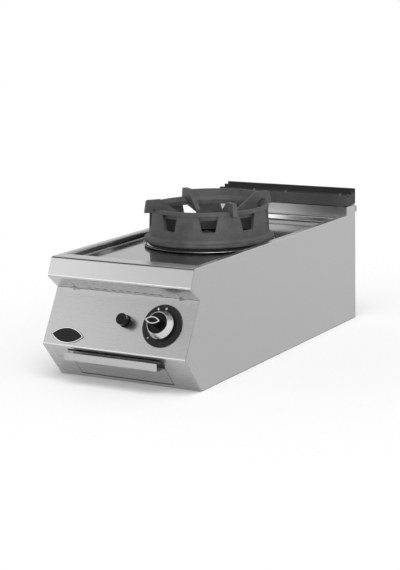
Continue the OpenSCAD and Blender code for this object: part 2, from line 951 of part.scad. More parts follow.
// Children stand at each screw's place on the front louvre's bevel, from the cover's lower front edge
module on_bevel() {
  for (x = [flue_screw_left - half_w, flue_screw_mid, half_w - flue_screw_right])
    translate([x, bevel_run / 2, flue_front_rise + bevel_rise / 2])
      rotate([atan2(bevel_rise, bevel_run), 0, 0]) children();
}

// Cast cover: box walls, two louvres that fall towards the back, and a high rear wall
module flue_cover() {
  f = flue_front_rise;
  peak = f + bevel_rise;
  lip_y = louvre_run + flue_slot;
  crest = f + louvre_step;
  heel_y = upstand_d - flue_wall - flue_slot;
  pitch = body_w / (flue_rib_count + 1);
  color("dimgray")
    translate([0, upstand_y, upstand_h]) {
      difference() {
        across(-half_w, half_w) {
          translate([0, flue_gap]) square([flue_wall, f - flue_gap]);
          polygon([
            [0, f - louvre_t], [0, f], [bevel_run, peak], [louvre_run, peak - louvre_fall],
            [louvre_run, peak - louvre_fall - louvre_t], [bevel_run, peak - louvre_t]
          ]);
          polygon([
            [lip_y, crest - louvre_lip], [lip_y, crest], [heel_y, crest - louvre_fall],
            [heel_y, crest - louvre_fall - louvre_t], [lip_y + louvre_t, crest - louvre_t],
            [lip_y + louvre_t, crest - louvre_lip]
          ]);
          translate([upstand_d - flue_wall, flue_gap]) square([flue_wall, flue_rear_rise - flue_gap]);
        }
        on_bevel() translate([0, 0, -flue_shank_l]) cylinder(h = flue_shank_l + over, r = flue_shank_r + hole_gap);
      }
      for (x = [-half_w, half_w - flue_wall])
        across(x, x + flue_wall)
          polygon([
            [0, flue_gap], [upstand_d, flue_gap], [upstand_d, crest - louvre_fall], [0, f - louvre_t]
          ]);
      for (i = [1:flue_rib_count])
        across(-half_w + i * pitch - flue_rib_t / 2, -half_w + i * pitch + flue_rib_t / 2)
          translate([0, f - louvre_t - flue_rib_h]) square([upstand_d, flue_rib_h]);
      for (x = [-1, 1], y = [flue_pad_in, upstand_d - flue_pad_in - skin_t - flue_pad_d])
        translate([x * (half_w - flue_pad_end - flue_pad_w / 2) - flue_pad_w / 2, y, 0])
          cube([flue_pad_w, flue_pad_d, flue_gap]);
    }
}

module flue_screws() {
  color("silver")
    translate([0, upstand_y, upstand_h])
      on_bevel() pan_screw(flue_screw_r, flue_screw_h, flue_shank_r, flue_shank_l);
}

module badge_plate() {
  color("black")
    on_panel(badge_x, badge_s)
      difference() {
        linear_extrude(badge_t + badge_rim_h) lens_shape(badge_w, badge_h);
        translate([0, 0, badge_t])
          linear_extrude(badge_rim_h + over) lens_shape(badge_w - 4 * badge_rim, badge_h - 2 * badge_rim);
      }
}

module dial_plate() {
  color("black")
    on_panel(knob_x, knob_s)
      rotate_extrude()
        polygon([
          [dial_hole_r, dial_pocket_d], [dial_pocket_r, dial_pocket_d], [dial_pocket_r, 0], [dial_r, 0],
          [dial_r, dial_rim_h], [dial_r - dial_rim_w, dial_rim_h], [dial_r - 2 * dial_rim_w, dial_t],
          [dial_hub_r + dial_rim_w, dial_t], [dial_hub_r, dial_hub_h], [dial_hole_r, dial_hub_h]
        ]);
}

// Radius of the knob's core, inside its bright ring, at a height above the panel
knob_seat = knob_lift + knob_base_h;
core_foot_r = knob_ring_r - knob_ring_w - knob_ring_seat;
core_top_r = knob_face_r - knob_ring_seat;

module knob_body() {
  face = knob_ring_top + knob_face_rise;
  color("black")
    on_panel(knob_x, knob_s)
      difference() {
        union() {
          rotate_extrude()
            polygon([
              [0, knob_lift], [knob_ring_r - knob_foot_in, knob_lift], [knob_ring_r, knob_seat],
              [core_foot_r, knob_seat], [core_top_r, knob_ring_top], [core_top_r - knob_face_rise, face],
              [core_top_r - knob_face_in, face], [core_top_r - knob_face_in - knob_face_rise, knob_ring_top],
              [0, knob_ring_top]
            ]);
          translate([0, 0, knob_seat]) cylinder(h = grip_post_h - knob_seat, r = grip_post_r);
          translate([0, 0, knob_seat]) linear_extrude(knob_h - trim_h - knob_seat) lens_shape(grip_len, grip_w);
        }
        translate([0, 0, knob_lift - over])
          cylinder(h = spindle_top - knob_lift + over, r = spindle_r + fit_gap);
      }
}

module knob_ring() {
  color("white")
    on_panel(knob_x, knob_s)
      rotate_extrude()
        polygon([
          [knob_ring_r - knob_ring_w, knob_seat], [knob_ring_r, knob_seat],
          [knob_face_r + knob_ring_w / 3, knob_ring_top], [knob_face_r, knob_ring_top]
        ]);
}

module knob_grip_trim() {
  color("white")
    on_panel(knob_x, knob_s)
      translate([0, 0, knob_h - trim_h])
        linear_extrude(trim_h)
          difference() {
            lens_shape(grip_len, grip_w);
            lens_shape(grip_len - 4 * trim_w, grip_w - 2 * trim_w);
          }
}

module tap_body() {
  chamber_end = spindle_inner + plunger_h + push_travel + chamber_slack;
  color("goldenrod")
    on_panel(knob_x, knob_s)
      difference() {
        union() {
          translate([0, 0, -skin_t - tap_flange_t])
            linear_extrude(tap_flange_t) rounded_rect(tap_flange_w, tap_flange_h, tap_flange_t);
          translate([0, 0, -tap_barrel_end])
            cylinder(h = tap_barrel_end - skin_t - tap_flange_t / 2, r = tap_barrel_r);
          translate([0, 0, -tap_tail_end]) hex_bar(tap_tail_af, tap_tail_end - tap_barrel_end);
          translate([0, 0, -outlet_in]) rotate([-90, 0, 0]) cylinder(h = outlet_len, r = outlet_r);
          translate([0, 0, -sensor_in]) rotate([90, 0, 0]) cylinder(h = sensor_len, r = sensor_r);
        }
        translate([0, 0, -spindle_inner]) cylinder(h = spindle_inner, r = spindle_r + fit_gap);
        translate([0, 0, -chamber_end]) cylinder(h = chamber_end - spindle_inner + fit_gap, r = plunger_r + fit_gap);
        for (x = [-1, 1])
          translate([x * tap_screw_x, 0, -skin_t - tap_flange_t - over])
            cylinder(h = tap_flange_t + 2 * over, r = tap_shank_r + hole_gap);
      }
}

module tap_screws() {
  color("silver")
    for (x = [-1, 1])
      on_panel(knob_x, knob_s)
        translate([x * tap_screw_x, 0, 0])
          pan_screw(tap_screw_r, tap_screw_h, tap_shank_r, skin_t + tap_flange_t);
}

module tap_spindle() {
  color("silver")
    on_panel(knob_x, knob_s)
      difference() {
        translate([0, 0, -spindle_inner]) cylinder(h = spindle_top + spindle_inner, r = spindle_r);
        translate([-spindle_r, spindle_r - spindle_flat, knob_seat])
          cube([2 * spindle_r, spindle_flat + over, spindle_top]);
      }
}

module tap_plunger() {
  color("goldenrod")
    on_panel(knob_x, knob_s)
      translate([0, 0, -spindle_inner - plunger_h]) cylinder(h = plunger_h, r = plunger_r);
}

module igniter_body() {
  pit = button_h - button_cap_foot;
  neck_floor = bezel_h - button_neck_in - button_travel - run_gap;
  stem_floor = bezel_h - button_neck_in - button_stem_len - button_travel - run_gap;
  color("black")
    on_panel(igniter_x, igniter_s)
      difference() {
        rotate_extrude()
          polygon([
            [0, -terminal_end], [terminal_r, -terminal_end], [terminal_r, -igniter_neck_end],
            [igniter_neck_r, -igniter_neck_end], [igniter_neck_r, -igniter_thread_len],
            [igniter_thread_r, -igniter_thread_len], [igniter_thread_r, 0], [bezel_r, 0],
            [bezel_r, bezel_h - bezel_edge], [bezel_r - bezel_edge, bezel_h], [0, bezel_h]
          ]);
        translate([0, 0, neck_floor]) cylinder(h = pit, r = button_neck_r + fit_gap);
        translate([0, 0, stem_floor]) cylinder(h = pit, r = button_stem_r + fit_gap);
      }
}

module igniter_nut() {
  color("silver")
    on_panel(igniter_x, igniter_s)
      translate([0, 0, -skin_t - igniter_nut_t])
        difference() {
          hex_bar(igniter_nut_af, igniter_nut_t);
          translate([0, 0, -over]) cylinder(h = igniter_nut_t + 2 * over, r = igniter_thread_r + fit_gap);
        }
}

module igniter_button() {
  neck_foot = bezel_h - button_neck_in;
  stem_foot = neck_foot - button_stem_len;
  color("black")
    on_panel(igniter_x, igniter_s)
      rotate_extrude()
        polygon([
          [0, stem_foot], [button_stem_r, stem_foot], [button_stem_r, neck_foot], [button_neck_r, neck_foot],
          [button_neck_r, button_cap_foot], [button_r - button_edge, button_cap_foot],
          [button_r, button_cap_foot + 2 * button_edge], [button_r, button_h - button_edge],
          [button_r - button_edge, button_h], [button_r - 2 * button_edge, button_h],
          [button_r - 3 * button_edge, button_h - button_edge / 2], [0, button_h - button_edge / 2]
        ]);
}

// Drawer front: chamfered face with a flange under the tray, and a pull of shelf and lip welded to the face
module drawer_front() {
  lip_y = front_y - lip_out;
  color("silver")
    across(-drawer_half_w, drawer_half_w) {
      folded_sheet([
        [chamfer_y(face_top_h), face_top_h], [chamfer_y(drawer_foot_h), drawer_foot_h],
        [chamfer_y(drawer_foot_h) + drawer_flange, drawer_foot_h]
      ], skin_t, bend_r / 2);
      folded_sheet([
        [lip_y, shelf_h + lip_h], [lip_y, shelf_h], [chamfer_y(shelf_h) + skin_t / 2, shelf_h]
      ], skin_t, bend_r / 2);
    }
}

module drip_tray() {
  middle = tray_y + tray_len / 2;
  color("silver")
    translate([0, middle, tray_z])
      difference() {
        linear_extrude(tray_h) rounded_rect(2 * tray_half_w, tray_len, tray_corner_r);
        translate([0, 0, tray_t])
          linear_extrude(tray_h)
            rounded_rect(2 * (tray_half_w - tray_t), tray_len - 2 * tray_t, tray_corner_r - tray_t);
      }
}

// Runner beside the tray: foot on the base, web that guides the tray, ledge that carries it
module runner() {
  web_x = tray_half_w + run_gap;
  y0 = tray_y + runner_start;
  y1 = y0 + runner_len;
  block([web_x, y0, skin_t], [web_x + runner_foot, y1, skin_t + runner_t]);
  block([web_x, y0, skin_t], [web_x + runner_t, y1, runner_web_h]);
  block([web_x - runner_ledge, y0, tray_z - run_gap - runner_t], [web_x + runner_t, y1, tray_z - run_gap]);
}

module left_runner() {
  color("lightgray") mirror([1, 0, 0]) runner();
}

module right_runner() {
  color("lightgray") runner();
}

bracket_screw_points = [
  for (x = [-1, 1], y = [-1, 1])
    [x * (bracket_half_w + bracket_foot / 2 + bracket_t), ring_y + y * bracket_d / 4]
];

// Portal over the drip tray: two legs with feet, and a shelf that carries the burner
module burner_bracket() {
  foot_end = bracket_half_w + bracket_t + bracket_foot;
  shelf = bracket_h - bracket_t;
  color("lightgray")
    difference() {
      translate([0, ring_y + bracket_d / 2, 0])
        rotate([90, 0, 0])
          linear_extrude(bracket_d)
            folded_sheet([
              [-foot_end, skin_t], [-bracket_half_w, skin_t], [-bracket_half_w, shelf], [bracket_half_w, shelf],
              [bracket_half_w, skin_t], [foot_end, skin_t]
            ], bracket_t, bracket_bend_r);
      for (x = [-1, 1])
        translate([x * bracket_half_w / 2, ring_y, shelf - over])
          translate([x * bracket_window_r / 2, 0, 0]) cylinder(h = bracket_t + 2 * over, r = bracket_window_r);
      for (p = bracket_screw_points)
        translate([p[0], p[1], skin_t - over]) cylinder(h = bracket_t + 2 * over, r = bracket_shank_r + hole_gap);
    }
}

module bracket_screws() {
  color("silver")
    for (p = bracket_screw_points)
      translate([p[0], p[1], skin_t + bracket_t])
        pan_screw(bracket_screw_r, bracket_screw_h, bracket_shank_r, skin_t + bracket_t);
}

// Cast burner: cup, mixing tube with flared mouth and spider, and two lugs for the sensors
module burner_body() {
  cup_top = bowl_h;
  color("gray")
    difference() {
      union() {
        translate([0, ring_y, bracket_h])
          rotate_extrude()
            polygon([
              [0, 0], [bowl_foot_r, 0], [bowl_foot_r, bowl_foot_h], [bowl_waist_r, bowl_waist_h],
              [burner_r, cup_top - bowl_side_h], [burner_r, cup_top], [0, cup_top]
            ]);
        along_tube()
          rotate_extrude()
            polygon([
              [0, 0], [venturi_throat_r, 0], [venturi_throat_r, throat_at], [venturi_mouth_r, flare_at],
              [venturi_mouth_r, venturi_len], [0, venturi_len]
            ]);
        for (side = [-1, 1])
          round_axis(side * lug_az)
            translate([0, 0, bowl_top - lug_down - lug_t])
              linear_extrude(lug_t) {
                translate([burner_r - lug_out, -lug_r]) square([2 * lug_out, 2 * lug_r]);
                translate([lug_at, 0]) circle(lug_r);
              }
      }
      translate([0, ring_y, bracket_h])
        rotate_extrude()
          polygon([
            [0, bowl_waist_h + bowl_wall], [bowl_waist_r - bowl_wall, bowl_waist_h + bowl_wall],
            [burner_r - bowl_wall, cup_top - bowl_side_h + bowl_wall / 2], [burner_r - bowl_wall, cup_top + over],
            [0, cup_top + over]
          ]);
      along_tube()
        difference() {
          rotate_extrude()
            polygon([
              [0, 0], [venturi_bore_r, 0], [venturi_bore_r, throat_at], [venturi_mouth_bore_r, venturi_len],
              [venturi_mouth_bore_r, venturi_len + over], [0, venturi_len + over]
            ]);
          translate([-venturi_mouth_r, -spider_w / 2, venturi_len - spider_depth])
            cube([2 * venturi_mouth_r, spider_w, spider_depth + 2 * over]);
          translate([0, 0, venturi_len - spider_depth]) cylinder(h = spider_depth + 2 * over, r = spider_boss_r);
        }
      along_tube()
        translate([0, 0, venturi_len - spider_depth - over])
          cylinder(h = spider_depth + 2 * over, r = holder_shank_r + fit_gap);
      along_tube()
        translate([-venturi_mouth_r - over, -venturi_mouth_r - over, venturi_len])
          cube([2 * venturi_mouth_r + 2 * over, 2 * venturi_mouth_r + 2 * over, 3 * over]);
      for (side = [-1, 1])
        round_axis(side * lug_az)
          translate([lug_at, 0, bowl_top - lug_down - lug_t - over])
            cylinder(h = lug_t + 2 * over, r = lug_hole_r);
    }
}

// Lift-off cap: spigot in the cup, cone with radial flame slots, ring of holes on top
module burner_cap() {
  spigot_r = burner_r - bowl_wall - cap_spigot_gap;
  rim_r = burner_r + cap_over;
  color("dimgray")
    translate([0, ring_y, bowl_top])
      difference() {
        rotate_extrude()
          polygon([
            [spigot_r - cap_wall, -cap_spigot_d], [spigot_r, -cap_spigot_d], [spigot_r, 0], [rim_r, 0],
            [rim_r, cap_flange_t], [cap_top_r + cap_wall, cap_top_h - cap_wall], [cap_top_r, cap_top_h],
            [0, cap_top_h], [0, cap_top_h - cap_wall], [cap_top_r - cap_wall, cap_top_h - cap_wall],
            [spigot_r - cap_wall, 0]
          ]);
        for (i = [0:cap_slot_count - 1])
          rotate(i * 360 / cap_slot_count)
            translate([cap_top_r, -cap_slot_w / 2, cap_slot_low])
              cube([burner_r, cap_slot_w, cap_slot_high - cap_slot_low]);
        for (i = [0:cap_hole_count - 1])
          rotate(i * 360 / cap_hole_count)
            translate([cap_hole_at, 0, cap_top_h - cap_wall - over])
              cylinder(h = cap_wall + 2 * over, r = cap_hole_r);
      }
}

module air_shutter() {
  color("silver")
    along_tube()
      translate([0, 0, venturi_len])
        linear_extrude(shutter_t)
          difference() {
            circle(shutter_r);
            circle(holder_af / 2 / cos(30) + run_gap);
            for (i = [0:shutter_window_count - 1])
              rotate(i * 360 / shutter_window_count)
                arc_band(shutter_window_in, shutter_window_out, -shutter_window_angle / 2, shutter_window_angle / 2);
          }
}

module injector_holder() {
  color("goldenrod")
    along_tube() {
      translate([0, 0, venturi_len - holder_shank_in]) cylinder(h = holder_shank_in, r = holder_shank_r);
      translate([0, 0, venturi_len]) hex_bar(holder_af, holder_hex_len);
      translate([0, 0, venturi_len + holder_hex_len]) cylinder(h = holder_neck_len, r = holder_neck_r);
    }
}

module injector() {
  tip = venturi_len - holder_shank_in - injector_len;
  color("gold")
    along_tube()
      rotate_extrude()
        polygon([
          [0, tip - injector_tip_len], [injector_tip_r, tip - injector_tip_len], [injector_r, tip],
          [injector_r, tip + injector_len], [0, tip + injector_len]
        ]);
}

// Pipe from the tap's outlet over to the injector
module feed_pipe() {
  up = unit(panel_point(0, 1, 0) - panel_point(0, 0, 0));
  end = [0, ring_y - holder_end, burner_axis_z];
  color("peru") {
    pipe([tap_outlet, tap_outlet + up * feed_rise, end - [0, feed_level_run, 0], end], feed_r, feed_bend);
    translate(tap_outlet) point_along(up) hex_bar(feed_nut_af, feed_nut_len);
    translate(end) rotate([90, 0, 0]) hex_bar(feed_nut_af, feed_nut_len);
  }
}

// Pipe from the rear inlet forward along the right side to the tap
module supply_pipe() {
  back = unit(supply_turn - tap_tail);
  end = [inlet_x, rear_y - skin_t - nipple_start, inlet_h];
  color("peru") {
    pipe(
      [tap_tail, supply_turn, [inlet_x, supply_turn[1] + supply_side_run, inlet_h], end], supply_r, supply_bend
    );
    translate(tap_tail) point_along(back) hex_bar(supply_nut_af, supply_nut_len);
    translate(end) rotate([90, 0, 0]) hex_bar(supply_nut_af, supply_nut_len);
  }
}

module inlet_nipple() {
  color("goldenrod")
    translate([inlet_x, rear_y - skin_t, inlet_h])
      rotate([-90, 0, 0])
        difference() {
          union() {
            translate([0, 0, -nipple_start]) cylinder(h = nipple_start + skin_t + nipple_out, r = inlet_r);
            translate([0, 0, -nipple_start])
              cylinder(h = nipple_start + skin_t + locknut_t, r = inlet_r + nipple_step);
            translate([0, 0, -nipple_hex_len]) hex_bar(nipple_hex_af, nipple_hex_len);
          }
          translate([0, 0, -nipple_hex_len]) cylinder(h = nipple_hex_len + 2 * nipple_out, r = nipple_bore_r);
        }
}

module inlet_locknut() {
  color("silver")
    translate([inlet_x, rear_y, inlet_h])
      rotate([-90, 0, 0])
        difference() {
          hex_bar(locknut_af, locknut_t);
          translate([0, 0, -over]) cylinder(h = locknut_t + 2 * over, r = inlet_r + nipple_step + fit_gap);
        }
}

// Spark plug in the left lug: ceramic with a collar on the lug, and a rod bent towards the cap
module spark_electrode() {
  at = [-lug_point[0], lug_point[1], lug_point[2]];
  inward = unit([-at[0], ring_y - at[1], 0]);
  tip = at + [0, 0, ceramic_up + spark_rod_up];
  color("white")
    translate(at) {
      translate([0, 0, -ceramic_down]) cylinder(h = ceramic_down + ceramic_up, r = ceramic_r);
      cylinder(h = ceramic_collar_h, r = ceramic_collar_r);
    }
  color("silver")
    pipe(
      [at + [0, 0, ceramic_up - over], tip, tip + inward * spark_rod_reach + [0, 0, spark_rod_r]],
      spark_rod_r, 2 * spark_rod_r
    );
}

// Flame sensor in the right lug, held by its nut
module thermocouple() {
  color("peru")
    translate(lug_point) {
      translate([0, 0, -probe_down]) cylinder(h = probe_down + probe_up, r = probe_r);
      hex_bar(probe_nut_af, probe_nut_h);
    }
}

module ignition_lead() {
  at = [-lug_point[0], lug_point[1], lug_point[2] - ceramic_down];
  back = panel_point(igniter_x, igniter_s, -terminal_end - spark_lead_in);
  color("black")
    pipe(
      [terminal_point, back, [at[0], lead_mid_y, lead_mid_h], [at[0], at[1], lead_mid_h + lead_bend], at],
      lead_r, lead_bend
    );
}

module thermocouple_lead() {
  at = lug_point - [0, 0, probe_down];
  low = panel_point(knob_x, knob_s - sensor_len - sensor_drop, -sensor_in);
  color("peru")
    pipe(
      [
        tap_sensor, low, [sensor_lead_x, sensor_lead_y, lead_low_h], [at[0], lead_mid_y, lead_mid_h],
        [at[0], at[1], lead_mid_h + lead_bend], at
      ],
      lead_r, lead_bend
    );
}

// Notch outline: trapezoid with rounded feet and shoulders, open above the ring's top edge
module notch_shape() {
  shoulder = notch_top_w / 2 + notch_shoulder;
  corners = [
    [shoulder, notch_lift], [notch_top_w / 2, notch_lift], [notch_foot_w / 2, -notch_d],
    [-notch_foot_w / 2, -notch_d], [-notch_top_w / 2, notch_lift], [-shoulder, notch_lift]
  ];
  polygon(concat([[shoulder, notch_shoulder]], fold_side(corners, 0, notch_round, 0), [[-shoulder, notch_shoulder]]));
}

// Ring section: flange with round edge and fillet, drafted wall, rebate that sits over the collar's crest
module ring_section() {
  flange_top = ring_z + ring_flange_t;
  fillet_r = ring_foot_r + flange_fillet;
  rim_r = collar_crest_r + collar_slope * ring_rim_d / collar_h + ring_rim_gap;
  rim_z = ring_z - ring_rim_d;
  difference() {
    union() {
      polygon([
        [ring_bore_r, ring_z], [rim_r, ring_z], [rim_r, rim_z], [ring_flange_r - flange_round, rim_z],
        [ring_flange_r - flange_round, flange_top], [fillet_r, flange_top],
        [ring_foot_r, flange_top + flange_fillet], [ring_top_r, ring_top], [ring_top_r - ring_wall, ring_top],
        [ring_foot_r - ring_wall, flange_top], [ring_bore_r, flange_top]
      ]);
      translate([ring_flange_r - flange_round, rim_z + flange_round]) circle(flange_round);
      translate([ring_flange_r - flange_round, flange_top - flange_round]) circle(flange_round);
      translate([ring_flange_r - flange_round, rim_z + flange_round])
        square([flange_round, flange_top - rim_z - 2 * flange_round]);
    }
    translate([fillet_r, flange_top + flange_fillet]) circle(flange_fillet);
  }
}

module wok_ring() {
  color("dimgray")
    difference() {
      translate([0, ring_y, 0]) rotate_extrude() ring_section();
      for (i = [0:notch_count - 1])
        round_axis(notch_phase + i * 360 / notch_count)
          translate([0, 0, ring_top]) rotate([90, 0, 90]) linear_extrude(ring_flange_r) notch_shape();
    }
}

// One fin: hooked over the band at its drafted outer end, flat on top, sloping in to its tip
module fin_shape() {
  end_r = ring_top_r + fin_reach;
  crest_r = end_r - fin_draft;
  root_r = ring_top_r - ring_wall - spigot_gap - spigot_w / 2;
  polygon(concat(
    [[root_r, 0], [end_r, 0]],
    fold_arc([[end_r, 0], [crest_r, fin_rise], [fin_flat_r, fin_rise]], 1, 0, fin_round, 0),
    [
      [fin_flat_r, fin_rise], [fin_inner_r, -fin_tip_drop], [fin_inner_r, -fin_tip_drop - fin_tip_h],
      [root_r, over - spigot_d]
    ]
  ));
}

// Small window at the foot of the fin that starts the back wall
module window_shape() {
  polygon([
    [ring_top_r - window_in, band_h - window_drop], [ring_top_r + window_out, band_h],
    [ring_top_r - window_apex_in, band_h + window_h]
  ]);
}

module wok_trivet() {
  spigot_r = ring_top_r - ring_wall - spigot_gap;
  band_r = ring_top_r + band_proud;
  color("dimgray")
    translate([0, 0, ring_top]) {
      translate([0, ring_y, 0])
        rotate_extrude()
          polygon([
            [spigot_r - spigot_w, -spigot_d], [spigot_r, -spigot_d], [spigot_r, 0], [band_r, 0],
            [band_r, band_h], [band_r - band_crest_w, band_h], [spigot_r - spigot_w, 0]
          ]);
      for (i = [0:fin_count - 1])
        round_axis(fin_phase + i * 360 / fin_count)
          rotate([90, 0, 0])
            linear_extrude(fin_t, center = true)
              difference() {
                fin_shape();
                if (i == window_fin) window_shape();
              }
      round_axis(fin_phase + 360 / fin_count)
        rotate_extrude(angle = 360 / fin_count)
          polygon([
            [band_r - back_wall_set - back_wall_t, band_h - over], [band_r - back_wall_set, band_h - over],
            [band_r + back_wall_lean, back_wall_rise], [band_r + back_wall_lean - back_wall_t, back_wall_rise]
          ]);
    }
}

base_pan();
base_nuts();
left_side_panel();
right_side_panel();
back_panel();
back_screws();
front_panel();
worktop();
nose_screws();
rear_upstand();
flue_cover();
flue_screws();
badge_plate();
dial_plate();
knob_body();
knob_ring();
knob_grip_trim();
tap_body();
tap_screws();
tap_spindle();
tap_plunger();
igniter_body();
igniter_nut();
igniter_button();
drawer_front();
drip_tray();
left_runner();
right_runner();
burner_bracket();
bracket_screws();
burner_body();
burner_cap();
air_shutter();
injector_holder();
injector();
feed_pipe();
supply_pipe();
inlet_nipple();
inlet_locknut();
spark_electrode();
ignition_lead();
thermocouple();
thermocouple_lead();
wok_ring();
wok_trivet();
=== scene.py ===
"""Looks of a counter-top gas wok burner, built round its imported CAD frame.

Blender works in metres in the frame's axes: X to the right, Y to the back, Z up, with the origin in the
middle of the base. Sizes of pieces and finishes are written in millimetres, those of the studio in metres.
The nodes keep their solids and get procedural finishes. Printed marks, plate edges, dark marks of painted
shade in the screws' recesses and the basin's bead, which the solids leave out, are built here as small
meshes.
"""

import logging
import math
from dataclasses import dataclass, field
from enum import Enum
from typing import Any, Mapping, Optional, Protocol, Sequence

import bmesh
import bpy
from mathutils import Matrix, Vector


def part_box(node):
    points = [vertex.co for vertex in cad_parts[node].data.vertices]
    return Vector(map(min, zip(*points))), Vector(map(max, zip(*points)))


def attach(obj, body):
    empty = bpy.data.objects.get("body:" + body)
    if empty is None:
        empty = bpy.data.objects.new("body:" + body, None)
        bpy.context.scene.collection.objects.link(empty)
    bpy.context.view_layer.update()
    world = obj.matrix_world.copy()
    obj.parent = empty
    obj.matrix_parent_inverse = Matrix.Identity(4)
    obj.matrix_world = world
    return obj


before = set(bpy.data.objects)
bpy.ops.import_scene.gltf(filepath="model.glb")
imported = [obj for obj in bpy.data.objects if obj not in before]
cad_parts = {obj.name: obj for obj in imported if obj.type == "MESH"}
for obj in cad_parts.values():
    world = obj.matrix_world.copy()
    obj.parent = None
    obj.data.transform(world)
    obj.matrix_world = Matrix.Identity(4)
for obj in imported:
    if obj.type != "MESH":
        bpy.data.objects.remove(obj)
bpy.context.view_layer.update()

LOG = logging.getLogger("wok_burner")
MM = 0.001
Point2 = tuple[float, float]
Point3 = tuple[float, float, float]
Colour = tuple[float, float, float, float]
WHITE: Colour = (1.0, 1.0, 1.0, 1.0)


def linear(code: str, share: float = 1.0) -> Colour:
    """Turn an sRGB hex colour into linear values.

    Args:
        code: colour such as "#C8C8C6".
        share: share of its light that is kept.

    Returns:
        Linear red, green and blue, with alpha 1.
    """
    parts = [int(code[i:i + 2], 16) / 255 for i in (1, 3, 5)]
    r, g, b = (share * (c / 12.92 if c <= 0.04045 else ((c + 0.055) / 1.055) ** 2.4) for c in parts)
    return (r, g, b, 1.0)


def per_metre(size_mm: float) -> float:
    """Texture scale, in repeats per metre, of a pattern with this size in millimetres."""
    return 1000.0 / size_mm


def middle_of(node: str) -> Vector:
    """Middle of a CAD node's box, in metres."""
    low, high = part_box(node)
    return (low + high) / 2


def add_node(
    tree: bpy.types.NodeTree,
    kind: str,
    settings: Optional[Mapping[Any, Any]] = None,
    links: Optional[Mapping[Any, bpy.types.NodeSocket]] = None,
) -> bpy.types.Node:
    """Add a node with its settings and links.

    Args:
        tree: node tree that takes the node.
        kind: Blender's name for the kind of node.
        settings: values by input socket, or by attribute where no socket has that name.
        links: output sockets by the input socket they feed.

    Returns:
        The new node.
    """
    node = tree.nodes.new(kind)
    for key, value in (settings or {}).items():
        if isinstance(key, int) or key in node.inputs:
            node.inputs[key].default_value = value
        else:
            setattr(node, key, value)
    for key, source in (links or {}).items():
        tree.links.new(source, node.inputs[key])
    return node


def new_material(name: str) -> tuple[bpy.types.Material, bpy.types.NodeTree]:
    """Start an empty node material.

    Args:
        name: the material's name.

    Returns:
        The material and its node tree.
    """
    material = bpy.data.materials.new(name)
    material.use_nodes = True
    material.node_tree.nodes.clear()
    return material, material.node_tree


def close_material(tree: bpy.types.NodeTree, shader: bpy.types.Node) -> None:
    """Join a shader to the tree's output.

    Args:
        tree: the material's node tree.
        shader: node whose first output is the surface.
    """
    add_node(tree, "ShaderNodeOutputMaterial", links={"Surface": shader.outputs[0]})


class Grain(Enum):
    """Way that a sheet's brushing lines run: 1 for each axis that they cross."""

    ALONG_X = (0, 1, 1)
    ALONG_Y = (1, 0, 1)


class Finish(Protocol):
    """A finish that builds its own material."""

    name: str

    def build(self) -> bpy.types.Material:
        """Build the finish's material."""
        ...


